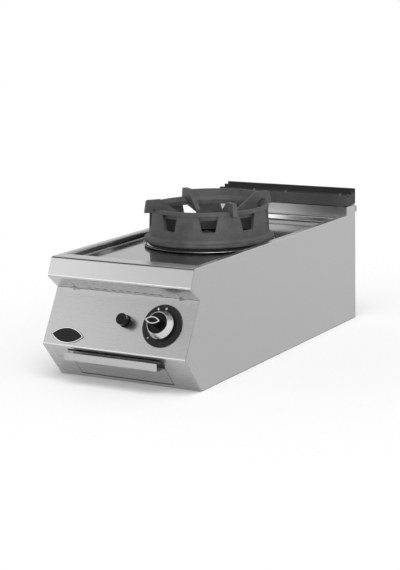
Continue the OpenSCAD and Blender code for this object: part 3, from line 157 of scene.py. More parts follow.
@dataclass(frozen=True)
class BrushedStainless:
    """Stainless steel sheet, cold rolled and brushed: even grey, soft reflections, fine lines one way."""

    name: str
    grain: Grain
    tone: str = "#B9B9B9"
    # Share of the tone that the darkest lines keep
    line_shade: float = 0.97
    roughness: float = 0.27
    # How far the lines take the roughness below and above its middle
    rough_below: float = 0.008
    rough_above: float = 0.01
    # Real lines are about 0.1 mm apart, drawn coarser so that they show
    line_mm: float = 2.2
    line_length_mm: float = 140.0
    line_relief_mm: float = 0.4
    line_strength: float = 0.007
    # Slow waves that every thin sheet has
    wave_mm: float = 210.0
    wave_relief_mm: float = 2.0
    wave_strength: float = 0.02
    # Middle and half length, along Y and then Z, of a level zone that the press has polished, and whose
    # darker tone is painted shade in its reflection
    polish_and_shade_zone: Optional[tuple[Point2, Point2]] = None
    polished_roughness: float = 0.1
    # Darker tone of the polished zone: painted shade in its reflection
    polished_shade_tone: str = "#9D9D9D"
    # How far a normal's Z may be from 1 where a face still counts as level
    level_slip: float = 0.03
    # Radius round the burner's axis within which the sheet under and inside the ring gets a dark tone of
    # painted shade, and its soft edge
    ring_shade_radius: float = 0.0
    ring_shade_edge: float = 2.0
    ring_shade_tone: str = "#2C2A28"

    def polish_and_shade_share(
        self, tree: bpy.types.NodeTree, place: bpy.types.NodeSocket
    ) -> bpy.types.NodeSocket:
        """Tell where the sheet is polished and darkened with painted shade: on the zone's level faces, since
        its walls stay brushed.

        Args:
            tree: the material's node tree.
            place: the surface's place.

        Returns:
            Socket that is 1 there and 0 elsewhere.
        """
        axes = add_node(tree, "ShaderNodeSeparateXYZ", links={0: place}).outputs
        normal = add_node(tree, "ShaderNodeNewGeometry").outputs["Normal"]
        upward = add_node(tree, "ShaderNodeSeparateXYZ", links={0: normal}).outputs["Z"]
        tests = [
            (axes[axis], middle * MM, half * MM)
            for axis, (middle, half) in zip("YZ", self.polish_and_shade_zone or ())
        ]
        share = add_node(
            tree, "ShaderNodeMath", {"operation": "COMPARE", 1: 1.0, 2: self.level_slip}, {0: upward}
        )
        for value, middle, half in tests:
            within = add_node(
                tree, "ShaderNodeMath", {"operation": "COMPARE", 1: middle, 2: half}, {0: value}
            )
            share = add_node(
                tree, "ShaderNodeMath", {"operation": "MULTIPLY"}, {0: share.outputs[0], 1: within.outputs[0]}
            )
        return share.outputs[0]

    def ring_shade_share(
        self, tree: bpy.types.NodeTree, place: bpy.types.NodeSocket
    ) -> bpy.types.NodeSocket:
        """Tell where the sheet under and inside the ring is darkened with painted shade.

        Args:
            tree: the material's node tree.
            place: the surface's place.

        Returns:
            Socket that falls from 1 near the burner's axis to 0.
        """
        axis = middle_of("wok_ring")
        flat = add_node(
            tree, "ShaderNodeVectorMath", {"operation": "MULTIPLY", 1: (1.0, 1.0, 0.0)}, {0: place}
        )
        away = add_node(
            tree, "ShaderNodeVectorMath", {"operation": "DISTANCE", 1: (axis.x, axis.y, 0.0)},
            {0: flat.outputs[0]},
        )
        return add_node(
            tree, "ShaderNodeMapRange",
            {"From Min": (self.ring_shade_radius - self.ring_shade_edge) * MM, "From Max": self.ring_shade_radius * MM,
             "To Min": 1.0, "To Max": 0.0},
            {"Value": away.outputs["Value"]},
        ).outputs[0]

    def build(self) -> bpy.types.Material:
        """Build the sheet's material.

        Returns:
            Metal with brushing lines in its roughness and relief.
        """
        material, tree = new_material(self.name)
        place = add_node(tree, "ShaderNodeTexCoord").outputs["Object"]
        across, along = per_metre(self.line_mm), per_metre(self.line_length_mm)
        stretch = [across if crossed else along for crossed in self.grain.value]
        lines_at = add_node(tree, "ShaderNodeMapping", {"Scale": stretch}, {"Vector": place})
        lines = add_node(
            tree, "ShaderNodeTexNoise", {"Scale": 1.0, "Detail": 3.0, "Roughness": 0.6},
            {"Vector": lines_at.outputs[0]},
        ).outputs["Fac"]
        waves = add_node(
            tree, "ShaderNodeTexNoise", {"Scale": per_metre(self.wave_mm), "Detail": 1.0}, {"Vector": place}
        ).outputs["Fac"]
        rough = add_node(
            tree, "ShaderNodeMapRange",
            {"From Min": 0.25, "From Max": 0.75,
             "To Min": self.roughness - self.rough_below, "To Max": self.roughness + self.rough_above},
            {"Value": lines},
        ).outputs[0]
        tone = add_node(
            tree, "ShaderNodeMix",
            {"data_type": "RGBA", 6: linear(self.tone), 7: linear(self.tone, self.line_shade)}, {0: lines},
        ).outputs[2]
        if self.polish_and_shade_zone:
            polished = self.polish_and_shade_share(tree, place)
            rough = add_node(
                tree, "ShaderNodeMapRange", {"To Max": self.polished_roughness},
                {"Value": polished, "To Min": rough},
            ).outputs[0]
            # Painted shade: the polished zone's darker tone
            tone = add_node(
                tree, "ShaderNodeMix", {"data_type": "RGBA", 7: linear(self.polished_shade_tone)},
                {0: polished, 6: tone},
            ).outputs[2]
        # Painted shade: a dark tone on the sheet under and inside the ring, round the burner's axis
        if self.ring_shade_radius:
            tone = add_node(
                tree, "ShaderNodeMix", {"data_type": "RGBA", 7: linear(self.ring_shade_tone)},
                {0: self.ring_shade_share(tree, place), 6: tone},
            ).outputs[2]
        waved = add_node(
            tree, "ShaderNodeBump", {"Strength": self.wave_strength, "Distance": self.wave_relief_mm * MM},
            {"Height": waves},
        )
        relief = add_node(
            tree, "ShaderNodeBump", {"Strength": self.line_strength, "Distance": self.line_relief_mm * MM},
            {"Height": lines, "Normal": waved.outputs[0]},
        )
        shader = add_node(
            tree, "ShaderNodeBsdfPrincipled", {"Metallic": 1.0},
            {"Base Color": tone, "Roughness": rough, "Normal": relief.outputs[0]},
        )
        close_material(tree, shader)
        return material


@dataclass(frozen=True)
class SpeckledSolid:
    """Solid whose colour, gloss and relief vary with two sizes of grain: a casting, plating or moulding."""

    name: str
    dark: str
    light: str
    metallic: float
    roughness: Point2
    grain_mm: float
    mottle_mm: float
    relief: float
    relief_mm: float = 0.3
    specular: float = 0.5
    # Weight of the fine grain against the mottling in the colour, and the sums at its dark and light ends
    grain_weight: float = 0.45
    tone_span: Point2 = (0.5, 0.95)
    # Tone of the painted shade that darkens the cover behind its front face, the Y behind which it lies, its
    # reach to either side, and its soft edge
    top_shade: Optional[str] = None
    top_shade_y: float = 0.0
    top_shade_reach: float = 0.0
    top_shade_edge: float = 2.0

    def top_shade_share(
        self, tree: bpy.types.NodeTree, place: bpy.types.NodeSocket
    ) -> bpy.types.NodeSocket:
        """Tell where the painted shade darkens the cover behind its front face.

        Args:
            tree: the material's node tree.
            place: the surface's place.

        Returns:
            Socket that rises from 0 in front to 1 behind, and stays 0 on the outer ends.
        """
        axes = add_node(tree, "ShaderNodeSeparateXYZ", links={0: place}).outputs
        within = add_node(
            tree, "ShaderNodeMath", {"operation": "COMPARE", 1: 0.0, 2: self.top_shade_reach * MM}, {0: axes["X"]}
        )
        return add_node(
            tree, "ShaderNodeMapRange",
            {"From Min": self.top_shade_y * MM, "From Max": (self.top_shade_y + self.top_shade_edge) * MM},
            {"Value": axes["Y"], "To Max": within.outputs[0]},
        ).outputs[0]

    def build(self) -> bpy.types.Material:
        """Build the solid's material.

        Returns:
            Material with fine grain in its relief and broad mottling in its colour.
        """
        material, tree = new_material(self.name)
        place = add_node(tree, "ShaderNodeTexCoord").outputs["Object"]
        grain = add_node(
            tree, "ShaderNodeTexNoise",
            {"Scale": per_metre(self.grain_mm), "Detail": 4.0, "Roughness": 0.65}, {"Vector": place},
        ).outputs["Fac"]
        mottle = add_node(
            tree, "ShaderNodeTexNoise", {"Scale": per_metre(self.mottle_mm), "Detail": 3.0}, {"Vector": place}
        ).outputs["Fac"]
        both = add_node(
            tree, "ShaderNodeMath", {"operation": "MULTIPLY_ADD", 1: self.grain_weight},
            {0: grain, 2: mottle},
        ).outputs[0]
        share = add_node(
            tree, "ShaderNodeMapRange", {"From Min": self.tone_span[0], "From Max": self.tone_span[1]},
            {"Value": both},
        ).outputs[0]
        colour = add_node(
            tree, "ShaderNodeMix", {"data_type": "RGBA", 6: linear(self.dark), 7: linear(self.light)},
            {0: share},
        ).outputs[2]
        # Painted shade: the cover is darkened behind its front face
        if self.top_shade:
            colour = add_node(
                tree, "ShaderNodeMix", {"data_type": "RGBA", 7: linear(self.top_shade)},
                {0: self.top_shade_share(tree, place), 6: colour},
            ).outputs[2]
        gloss = add_node(
            tree, "ShaderNodeMapRange",
            {"From Min": 0.3, "From Max": 0.7, "To Min": self.roughness[0], "To Max": self.roughness[1]},
            {"Value": mottle},
        )
        relief = add_node(
            tree, "ShaderNodeBump", {"Strength": self.relief, "Distance": self.relief_mm * MM},
            {"Height": grain},
        )
        shader = add_node(
            tree, "ShaderNodeBsdfPrincipled",
            {"Metallic": self.metallic, "Specular IOR Level": self.specular},
            {"Base Color": colour, "Roughness": gloss.outputs[0], "Normal": relief.outputs[0]},
        )
        close_material(tree, shader)
        return material


@dataclass(frozen=True)
class TurnedMetal:
    """Metal turned on a lathe or cut with a thread: fine ridges across the Y axis."""

    name: str
    tone: str
    roughness: float
    pitch_mm: float
    relief: float
    relief_mm: float = 0.4
    # Size of the stains, and the share of the tone that the darkest keep
    stain_mm: float = 9.0
    stain_shade: float = 0.7

    def build(self) -> bpy.types.Material:
        """Build the metal's material.

        Returns:
            Stained metal with its ridges in relief.
        """
        material, tree = new_material(self.name)
        place = add_node(tree, "ShaderNodeTexCoord").outputs["Object"]
        # A wave repeats every 2 pi over 20 units of its scale
        rings = add_node(
            tree, "ShaderNodeTexWave",
            {"bands_direction": "Y", "Scale": per_metre(self.pitch_mm) * 2 * math.pi / 20, "Distortion": 0.0},
            {"Vector": place},
        )
        stain = add_node(
            tree, "ShaderNodeTexNoise", {"Scale": per_metre(self.stain_mm), "Detail": 4.0}, {"Vector": place}
        )
        tone = add_node(
            tree, "ShaderNodeMix",
            {"data_type": "RGBA", 6: linear(self.tone), 7: linear(self.tone, self.stain_shade)},
            {0: stain.outputs["Fac"]},
        )
        relief = add_node(
            tree, "ShaderNodeBump", {"Strength": self.relief, "Distance": self.relief_mm * MM},
            {"Height": rings.outputs["Fac"]},
        )
        shader = add_node(
            tree, "ShaderNodeBsdfPrincipled", {"Metallic": 1.0, "Roughness": self.roughness},
            {"Base Color": tone.outputs[2], "Normal": relief.outputs[0]},
        )
        close_material(tree, shader)
        return material


@dataclass(frozen=True)
class StudioFloor:
    """Matt pale paper sweep under the object, which keeps the object's shadow."""

    name: str = "pale_paper_sweep"
    tone: str = "#F7F7F7"
    # Share of white that the camera and the steel's reflections see in place of the shadowed paper
    white_share: float = 0.08

    def build(self) -> bpy.types.Material:
        """Build the floor's material.

        Returns:
            Paper that looks a little whiter to the camera and in reflections than it lights the object.
        """
        material, tree = new_material(self.name)
        paper = add_node(tree, "ShaderNodeBsdfDiffuse", {"Color": linear(self.tone)})
        white = add_node(tree, "ShaderNodeEmission", {"Color": WHITE, "Strength": 1.0})
        path = add_node(tree, "ShaderNodeLightPath").outputs
        seen = path["Is Camera Ray"]
        for way in ("Is Glossy Ray", "Is Transmission Ray"):
            seen = add_node(
                tree, "ShaderNodeMath", {"operation": "ADD", "use_clamp": True}, {0: seen, 1: path[way]}
            ).outputs[0]
        share = add_node(tree, "ShaderNodeMath", {"operation": "MULTIPLY", 1: self.white_share}, {0: seen})
        shader = add_node(
            tree, "ShaderNodeMixShader",
            links={0: share.outputs[0], 1: paper.outputs[0], 2: white.outputs[0]},
        )
        close_material(tree, shader)
        return material


# Brushed stainless of the front: lines run across, light grey with soft reflections
FRONT_STEEL = BrushedStainless("brushed_stainless_front", Grain.ALONG_X)
# Same sheet on the sides and the back box: lines run from front to back, with a darker tone that is painted
# shade
SHADED_SIDE_STEEL = BrushedStainless("brushed_stainless_side_painted_shade", Grain.ALONG_Y, tone="#B1B1B1", roughness=0.33)
# Pressed top: brushed nose and rim, and a basin floor that the press has polished until it mirrors the ring;
# the floor's darker tone is painted shade in that reflection, and the sheet under and inside the ring gets a
# dark tone of painted shade
TOP_STEEL = BrushedStainless(
    "pressed_stainless_top", Grain.ALONG_X, tone="#BEBEBE", roughness=0.24,
    polish_and_shade_zone=((3.0, 371.0), (280.5, 12.5)), ring_shade_radius=148.5,
)
# Deep-drawn stainless of the drip tray: a little duller than the front
TRAY_STEEL = BrushedStainless("drawn_stainless_tray", Grain.ALONG_Y, roughness=0.3)
# Galvanised sheet: dull zinc with crystals a centimetre or two wide
ZINC_SHEET = SpeckledSolid(
    "galvanised_sheet", "#85888A", "#A6A9AB", metallic=1.0, roughness=(0.38, 0.52),
    grain_mm=3.0, mottle_mm=14.0, relief=0.05,
)
# Zinc-plated fasteners: bright, slightly milky
ZINC_PLATE = SpeckledSolid(
    "bright_zinc_plate", "#A9ABAC", "#C9CBCC", metallic=1.0, roughness=(0.22, 0.32),
    grain_mm=1.2, mottle_mm=8.0, relief=0.03,
)
# Sand-cast grey iron: dark, matt, with a grain of a millimetre or two left by the sand
CAST_IRON = SpeckledSolid(
    "sand_cast_iron", "#383838", "#4E4E4E", metallic=0.25, roughness=(0.52, 0.7),
    grain_mm=1.8, mottle_mm=26.0, relief=0.35, relief_mm=0.5,
)
# Burner casting, cleaned and heat-tinted a shade browner
BURNER_IRON = SpeckledSolid(
    "burner_cast_iron", "#3A3836", "#55504B", metallic=0.4, roughness=(0.5, 0.68),
    grain_mm=1.6, mottle_mm=22.0, relief=0.3, relief_mm=0.4,
)
FLUE_LOW, FLUE_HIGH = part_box("flue_cover")
# Matt black vitreous enamel on the flue casting: slightly pebbled, with painted shade that darkens all of it
# behind its front face except the ends
FLUE_ENAMEL = SpeckledSolid(
    "matt_black_enamel", "#383838", "#464646", metallic=0.0, roughness=(0.66, 0.78),
    grain_mm=2.5, mottle_mm=60.0, relief=0.12, relief_mm=0.4, specular=0.12,
    top_shade="#2A2A2A", top_shade_y=FLUE_LOW.y / MM + 1.0, top_shade_reach=FLUE_HIGH.x / MM - 0.5,
)
# Moulded black phenolic of the knob and igniter: satin, very fine texture
PHENOLIC = SpeckledSolid(
    "moulded_black_phenolic", "#0B0B0B", "#141414", metallic=0.0, roughness=(0.24, 0.34),
    grain_mm=0.8, mottle_mm=18.0, relief=0.05, relief_mm=0.1, specular=0.18,
)
# Black anodised plate of the dial: satin grey-black
DIAL_PLATE = SpeckledSolid(
    "black_anodised_plate", "#161616", "#202020", metallic=0.0, roughness=(0.4, 0.5),
    grain_mm=0.9, mottle_mm=30.0, relief=0.04, relief_mm=0.1, specular=0.25,
)
# Bare badge plate: gloss black lacquer
BADGE_LACQUER = SpeckledSolid(
    "gloss_black_lacquer", "#0E0E0E", "#161616", metallic=0.0, roughness=(0.12, 0.2),
    grain_mm=2.0, mottle_mm=30.0, relief=0.02, relief_mm=0.1, specular=0.2,
)
# Chrome plating on plastic: mirror with the faint waviness of the moulding
CHROME = SpeckledSolid(
    "bright_chrome_plating", "#E4E4E4", "#F0F0F0", metallic=1.0, roughness=(0.05, 0.1),
    grain_mm=6.0, mottle_mm=40.0, relief=0.02, relief_mm=0.1,
)
# Satin chrome of the knob's ring: the same plating over a spun surface, so its reflections are softer
SATIN_CHROME = SpeckledSolid(
    "satin_chrome_plating", "#C8C8C8", "#D8D8D8", metallic=1.0, roughness=(0.15, 0.21),
    grain_mm=1.2, mottle_mm=24.0, relief=0.03, relief_mm=0.1,
)
# Brass turned and threaded at a pitch of 1.8 mm: yellow, with ridges that catch the light
BRASS = TurnedMetal("turned_brass", "#C9A45E", roughness=0.28, pitch_mm=1.814, relief=0.6)
# Drawn copper tube: smooth, reddish, with darker stains
COPPER = SpeckledSolid(
    "drawn_copper_tube", "#9E6344", "#C98A66", metallic=1.0, roughness=(0.25, 0.38),
    grain_mm=2.0, mottle_mm=24.0, relief=0.03,
)
# Black steel gas pipe: grey mill scale, half dull
GAS_PIPE = SpeckledSolid(
    "mill_scale_pipe", "#4A4B4D", "#66686A", metallic=0.9, roughness=(0.4, 0.55),
    grain_mm=2.0, mottle_mm=20.0, relief=0.1,
)
# Glazed ceramic of the spark plug: off-white, glossy
CERAMIC = SpeckledSolid(
    "glazed_ceramic", "#E6E2D8", "#F1EEE6", metallic=0.0, roughness=(0.1, 0.18),
    grain_mm=2.0, mottle_mm=12.0, relief=0.02, relief_mm=0.1,
)
# Extruded silicone sleeve: dull, fine powdering
SILICONE = SpeckledSolid(
    "silicone_sleeve", "#1A1A1A", "#2A2A2A", metallic=0.0, roughness=(0.55, 0.7),
    grain_mm=1.0, mottle_mm=9.0, relief=0.1, relief_mm=0.1,
)
# Screen-printing ink: flat white
INK = SpeckledSolid(
    "white_print_ink", "#EDEDED", "#F8F8F8", metallic=0.0, roughness=(0.45, 0.55),
    grain_mm=0.8, mottle_mm=10.0, relief=0.03, relief_mm=0.05,
)
# Blackened steel of the flue's screws: dull, a shade lighter than the enamel round them
BLACK_SCREW = SpeckledSolid(
    "blackened_steel_screw", "#4C4C4C", "#606060", metallic=0.3, roughness=(0.4, 0.5),
    grain_mm=0.8, mottle_mm=6.0, relief=0.05, relief_mm=0.1,
)
# Painted shade of a screw's cross recess: a dark flat mark that stands in for the steel in the recess's own
# shadow
RECESS_SHADE = SpeckledSolid(
    "screw_recess", "#1C1C1C", "#2E2E2E", metallic=0.8, roughness=(0.4, 0.55),
    grain_mm=0.8, mottle_mm=5.0, relief=0.1, relief_mm=0.1,
)

_BUILT: dict[str, bpy.types.Material] = {}


def material_of(finish: Finish) -> bpy.types.Material:
    """Give a finish's material, building it once.

    Args:
        finish: the finish wanted.

    Returns:
        Its material.
    """
    if finish.name not in _BUILT:
        _BUILT[finish.name] = finish.build()
    return _BUILT[finish.name]


def dress(finish: Finish, *nodes: str) -> None:
    """Give CAD nodes a finish.

    Args:
        finish: the finish to give.
        nodes: names of the nodes.
    """
    for name in nodes:
        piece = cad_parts[name]
        if not piece.material_slots:
            piece.data.materials.append(None)
        for slot in piece.material_slots:
            slot.material = material_of(finish)
        LOG.info("node %s: %s", name, finish.name)


def place_piece(
    name: str, mesh: bmesh.types.BMesh, finish: Finish, body: str
) -> bpy.types.Object:
    """Turn a mesh into a piece that rides on a CAD body.

    Args:
        name: the piece's name.
        mesh: its finished mesh, in the frame's axes.
        finish: its finish.
        body: CAD body that carries it.

    Returns:
        The new object.
    """
    bmesh.ops.recalc_face_normals(mesh, faces=mesh.faces)
    data = bpy.data.meshes.new(name)
    mesh.to_mesh(data)
    mesh.free()
    data.materials.append(material_of(finish))
    piece = bpy.data.objects.new(name, data)
    bpy.context.scene.collection.objects.link(piece)
    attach(piece, body)
    LOG.info("piece %s on %s: %s", name, body, finish.name)
    return piece


def add_prism(
    mesh: bmesh.types.BMesh, outline: Sequence[Point2], low: float, high: float, place: Matrix
) -> None:
    """Add a flat prism to a mesh.

    Args:
        mesh: mesh that takes it.
        outline: corners in millimetres.
        low: height of its underside in millimetres.
        high: height of its top in millimetres.
        place: matrix from the outline's plane to the frame.
    """
    rings = [
        [mesh.verts.new(place @ Vector((x * MM, y * MM, z * MM))) for x, y in outline] for z in (low, high)
    ]
    mesh.faces.new(rings[0][::-1])
    mesh.faces.new(rings[1])
    count = len(outline)
    for i in range(count):
        j = (i + 1) % count
        mesh.faces.new((rings[0][i], rings[0][j], rings[1][j], rings[1][i]))


def add_bead(
    mesh: bmesh.types.BMesh, path: Sequence[Point2], section: Sequence[Point2], place: Matrix
) -> None:
    """Sweep a closed section round a closed flat path.

    Args:
        mesh: mesh that takes it.
        path: corners of the path in millimetres, in order.
        section: corners of the section as (outwards, up) in millimetres.
        place: matrix from the path's plane to the frame.
    """
    count = len(path)
    rings = []
    for i in range(count):
        before, here, after = Vector(path[i - 1]), Vector(path[i]), Vector(path[(i + 1) % count])
        along = ((here - before).normalized() + (after - here).normalized()).normalized()
        outward = Vector((along.y, -along.x))
        spots = [Vector((*(here + outward * u), v)) for u, v in section]
        rings.append([mesh.verts.new(place @ (spot * MM)) for spot in spots])
    for i in range(count):
        a, b = rings[i], rings[(i + 1) % count]
        for k in range(len(section)):
            m = (k + 1) % len(section)
            mesh.faces.new((a[k], b[k], b[m], a[m]))


def arc(cx: float, cy: float, r: float, a0: float, a1: float, steps: int) -> list[Point2]:
    """Points along an arc.

    Args:
        cx: centre's x.
        cy: centre's y.
        r: radius.
        a0: first angle in degrees.
        a1: last angle in degrees.
        steps: number of chords.

    Returns:
        The arc's points, both ends among them.
    """
    angles = [math.radians(a0 + (a1 - a0) * i / steps) for i in range(steps + 1)]
    return [(cx + r * math.cos(a), cy + r * math.sin(a)) for a in angles]


def circle(r: float, corners: int) -> list[Point2]:
    """Corners of a circle of this radius round the origin."""
    return arc(0, 0, r, 0, 360, corners)[:-1]


def facing(out: Vector) -> Matrix:
    """Turn of a plane whose X axis is the frame's and whose Z axis is this direction.

    Args:
        out: unit direction that the plane faces, square to X.

    Returns:
        Matrix of the turn.
    """
    across = Vector((1, 0, 0))
    return Matrix((across, out.cross(across), out)).transposed().to_4x4()


@dataclass(frozen=True)
class ControlPanel:
    """Slope of the control panel, given by how far it goes back over its height."""

    set_back: float = 71.5
    rise: float = 128.0

    def at(self, plate: str) -> Matrix:
        """Matrix of a plate's middle on the panel.

        Args:
            plate: name of the plate's CAD node.

        Returns:
            Matrix whose Z axis leaves the panel's face and whose Y axis goes up its slope.
        """
        out = Vector((0, -self.rise, self.set_back)).normalized()
        return Matrix.Translation(middle_of(plate)) @ facing(out)


@dataclass
class Skins:
    """Folded steel skins of the body."""

    def dress(self) -> None:
        """Give each skin its sheet."""
        dress(FRONT_STEEL, "front_panel", "drawer_front")
        dress(SHADED_SIDE_STEEL, "left_side_panel", "right_side_panel", "rear_upstand")
        dress(TOP_STEEL, "worktop")
        dress(ZINC_SHEET, "base_pan", "back_panel", "left_runner", "right_runner", "burner_bracket")
        dress(TRAY_STEEL, "drip_tray")


@dataclass
class WokStand:
    """Cast wok ring, loose trivet and flue cover, and the bright bead in the basin round the ring."""

    basin_depth: float = 16.0
    # Bead's middle outside the ring's flange, its half width, its height, and how far it sinks into the floor
    bead_gap: float = 2.5
    bead_half: float = 1.0
    bead_h: float = 0.5
    bead_sink: float = 0.2
    bead_corners: int = 120
    crown_chords: int = 5

    def dress(self) -> None:
        """Give the castings their finishes."""
        dress(CAST_IRON, "wok_ring", "wok_trivet")
        dress(FLUE_ENAMEL, "flue_cover")
        dress(BLACK_SCREW, "flue_screws")

    def build(self) -> None:
        """Build the bead on the basin's floor, just outside the flange."""
        axis = middle_of("wok_ring")
        flange_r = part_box("wok_ring")[1].x / MM
        floor_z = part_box("worktop")[1].z - self.basin_depth * MM
        angles = [math.pi * i / self.crown_chords for i in range(self.crown_chords + 1)]
        crown = [(self.bead_half * math.cos(a), self.bead_h * math.sin(a)) for a in angles]
        section = [(-self.bead_half, -self.bead_sink), (self.bead_half, -self.bead_sink), *crown]
        bead = bmesh.new()
        path = circle(flange_r + self.bead_gap, self.bead_corners)
        add_bead(bead, path, section, Matrix.Translation((axis.x, axis.y, floor_z)))
        place_piece("basin_bead", bead, FRONT_STEEL, "body")


@dataclass
class Controls:
    """Gas knob with its printed dial, igniter and bare badge plate."""

    panel: ControlPanel = field(default_factory=ControlPanel)
    # Dial's face above its plate's middle, the ink's thickness, and the radius at the marks' feet
    dial_face: float = 1.0
    print_t: float = 0.06
    print_r: float = 42.0
    # Ring that marks the closed place, and flames for full and low: angles round the dial from the right
    closed_angle: float = 88.0
    closed_r: float = 2.1
    closed_half: float = 0.5
    closed_corners: int = 24
    # Angle and height of each flame
    flames: tuple[Point2, ...] = ((117.0, 6.4), (227.0, 4.2))
    # Badge's face above its plate's middle, and the bright edge's size over all, half widths and height
    badge_face: float = 0.75
    edge_size: Point2 = (89.0, 37.5)
    edge_half: float = 1.0
    edge_top_half: float = 0.55
    edge_h: float = 0.35

    def dress(self) -> None:
        """Give the control pieces their finishes."""
        dress(PHENOLIC, "knob_body", "igniter_body", "igniter_button")
        dress(SATIN_CHROME, "knob_ring")
        dress(CHROME, "knob_grip_trim")
        dress(DIAL_PLATE, "dial_plate")
        dress(BADGE_LACQUER, "badge_plate")

    def flame(self, height: float) -> list[Point2]:
        """Outline of a plain flame mark.

        Args:
            height: height of the mark in millimetres.

        Returns:
            Its corners, foot at the origin, tip up.
        """
        r = 0.3 * height
        return arc(0, r, r, -200, 20, 14) + [(0.1 * height, 0.72 * height), (0.02 * height, height)]

    def oval(self, length: float, width: float) -> list[Point2]:
        """Outline of a pointed oval.

        Args:
            length: length over its points in millimetres.
            width: width over its middle in millimetres.

        Returns:
            Its corners, from the right point round to the right point's last neighbour.
        """
        r = (length ** 2 + width ** 2) / (4 * width)
        reach = math.degrees(math.asin(length / 2 / r))
        upper = arc(0, width / 2 - r, r, 90 - reach, 90 + reach, 24)
        lower = arc(0, r - width / 2, r, 270 - reach, 270 + reach, 24)
        return upper[:-1] + lower[:-1]

    def spot(self, angle: float) -> Matrix:
        """Matrix of a printed mark, its foot towards the dial's middle.

        Args:
            angle: degrees round the dial from the right.

        Returns:
            Matrix in the dial's plane.
        """
        turn = Matrix.Rotation(math.radians(angle - 90), 4, "Z")
        return turn @ Matrix.Translation((0, self.print_r * MM, 0))

    def print_dial(self) -> None:
        """Print the marks on the dial."""
        dial = self.panel.at("dial_plate")
        low, high, half = self.dial_face, self.dial_face + self.print_t, self.closed_half
        marks = bmesh.new()
        band = [(-half, low), (half, low), (half, high), (-half, high)]
        add_bead(marks, circle(self.closed_r, self.closed_corners), band, dial @ self.spot(self.closed_angle))
        for angle, height in self.flames:
            add_prism(marks, self.flame(height), low, high, dial @ self.spot(angle))
        place_piece("dial_print", marks, INK, "body")

    def build(self) -> None:
        """Build the dial's print and the badge plate's bright edge."""
        self.print_dial()
        foot, top = self.badge_face, self.badge_face + self.edge_h
        section = [
            (-self.edge_half, foot), (self.edge_half, foot),
            (self.edge_top_half, top), (-self.edge_top_half, top),
        ]
        edge = bmesh.new()
        add_bead(edge, self.oval(*self.edge_size), section, self.panel.at("badge_plate"))
        place_piece("badge_edge", edge, CHROME, "body")


@dataclass
class Fasteners:
    """Screws, nuts, and dark marks of painted shade for the cross recesses in the screws that show."""

    recess_half: float = 2.0
    recess_w: float = 0.8
    recess_t: float = 0.04
    # Nose screws: either side of the middle, down from the panel's top, and the height of their heads
    nose_x: float = 148.0
    nose_down: float = 14.0
    nose_head: float = 2.4
    # Ends of the nose's return as (Y, Z)
    nose_lip: Point2 = (-434.0, 251.0)
    panel_top: Point2 = (-393.5, 218.0)
    back_x: float = 186.5
    back_heights: tuple[float, ...] = (40.0, 160.0, 284.0)

    def dress(self) -> None:
        """Give the fasteners their plating."""
        dress(
            ZINC_PLATE, "base_nuts", "back_screws", "nose_screws", "tap_screws", "igniter_nut",
            "bracket_screws", "inlet_locknut", "air_shutter", "tap_spindle",
        )

    def cross(self) -> list[Point2]:
        """Outline of a cross recess.

        Returns:
            Its twelve corners in millimetres.
        """
        a, b = self.recess_half, self.recess_w / 2
        return [
            (b, b), (b, a), (-b, a), (-b, b), (-a, b), (-a, -b),
            (-b, -b), (-b, -a), (b, -a), (b, -b), (a, -b), (a, b),
        ]

    def recesses(self, name: str, spots: Sequence[Vector], height: float, turn: Matrix) -> None:
        """Build one piece with a cross-shaped dark mark of painted shade at each spot, for the screw's
        recess.

        Args:
            name: the piece's name.
            spots: places in millimetres.
            height: height of the screws' faces over the spots in millimetres.
            turn: matrix of the turn that faces the screws.
        """
        mesh = bmesh.new()
        for spot in spots:
            place = Matrix.Translation(spot * MM) @ turn
            add_prism(mesh, self.cross(), height, height + self.recess_t, place)
        # Each mark is painted shade of a recess
        place_piece(name, mesh, RECESS_SHADE, "body")

    def build(self) -> None:
        """Build the painted shade of the recesses in the nose's and the back's screws."""
        lip, top = Vector(self.nose_lip), Vector(self.panel_top)
        along = (top - lip).normalized()
        y, z = top - along * self.nose_down
        nose = [Vector((side * self.nose_x, y, z)) for side in (-1, 1)]
        self.recesses("nose_screw_recesses", nose, self.nose_head, facing(Vector((0, along.y, -along.x))))
        back_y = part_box("back_screws")[1].y / MM
        back = [Vector((side * self.back_x, back_y, z)) for side in (-1, 1) for z in self.back_heights]
        self.recesses("back_screw_recesses", back, 0.0, facing(Vector((0, 1, 0))))


@dataclass
class BurnerGroup:
    """Burner, gas way and sensors inside the body."""

    def dress(self) -> None:
        """Give the inner pieces their finishes."""
        dress(BURNER_IRON, "burner_body", "burner_cap")
        dress(BRASS, "tap_body", "tap_plunger", "injector_holder", "injector", "inlet_nipple")
        dress(COPPER, "feed_pipe", "thermocouple", "thermocouple_lead")
        dress(GAS_PIPE, "supply_pipe")
        dress(CERAMIC, "spark_electrode")
        dress(SILICONE, "ignition_lead")


@dataclass(frozen=True)
class RoomPatch:
    """Soft-edged patch of the room that is brighter or darker than the rest."""

    way: Point3
    # Cosines of the angles from its middle at which it starts and is full
    edge: float
    core: float
    added: float


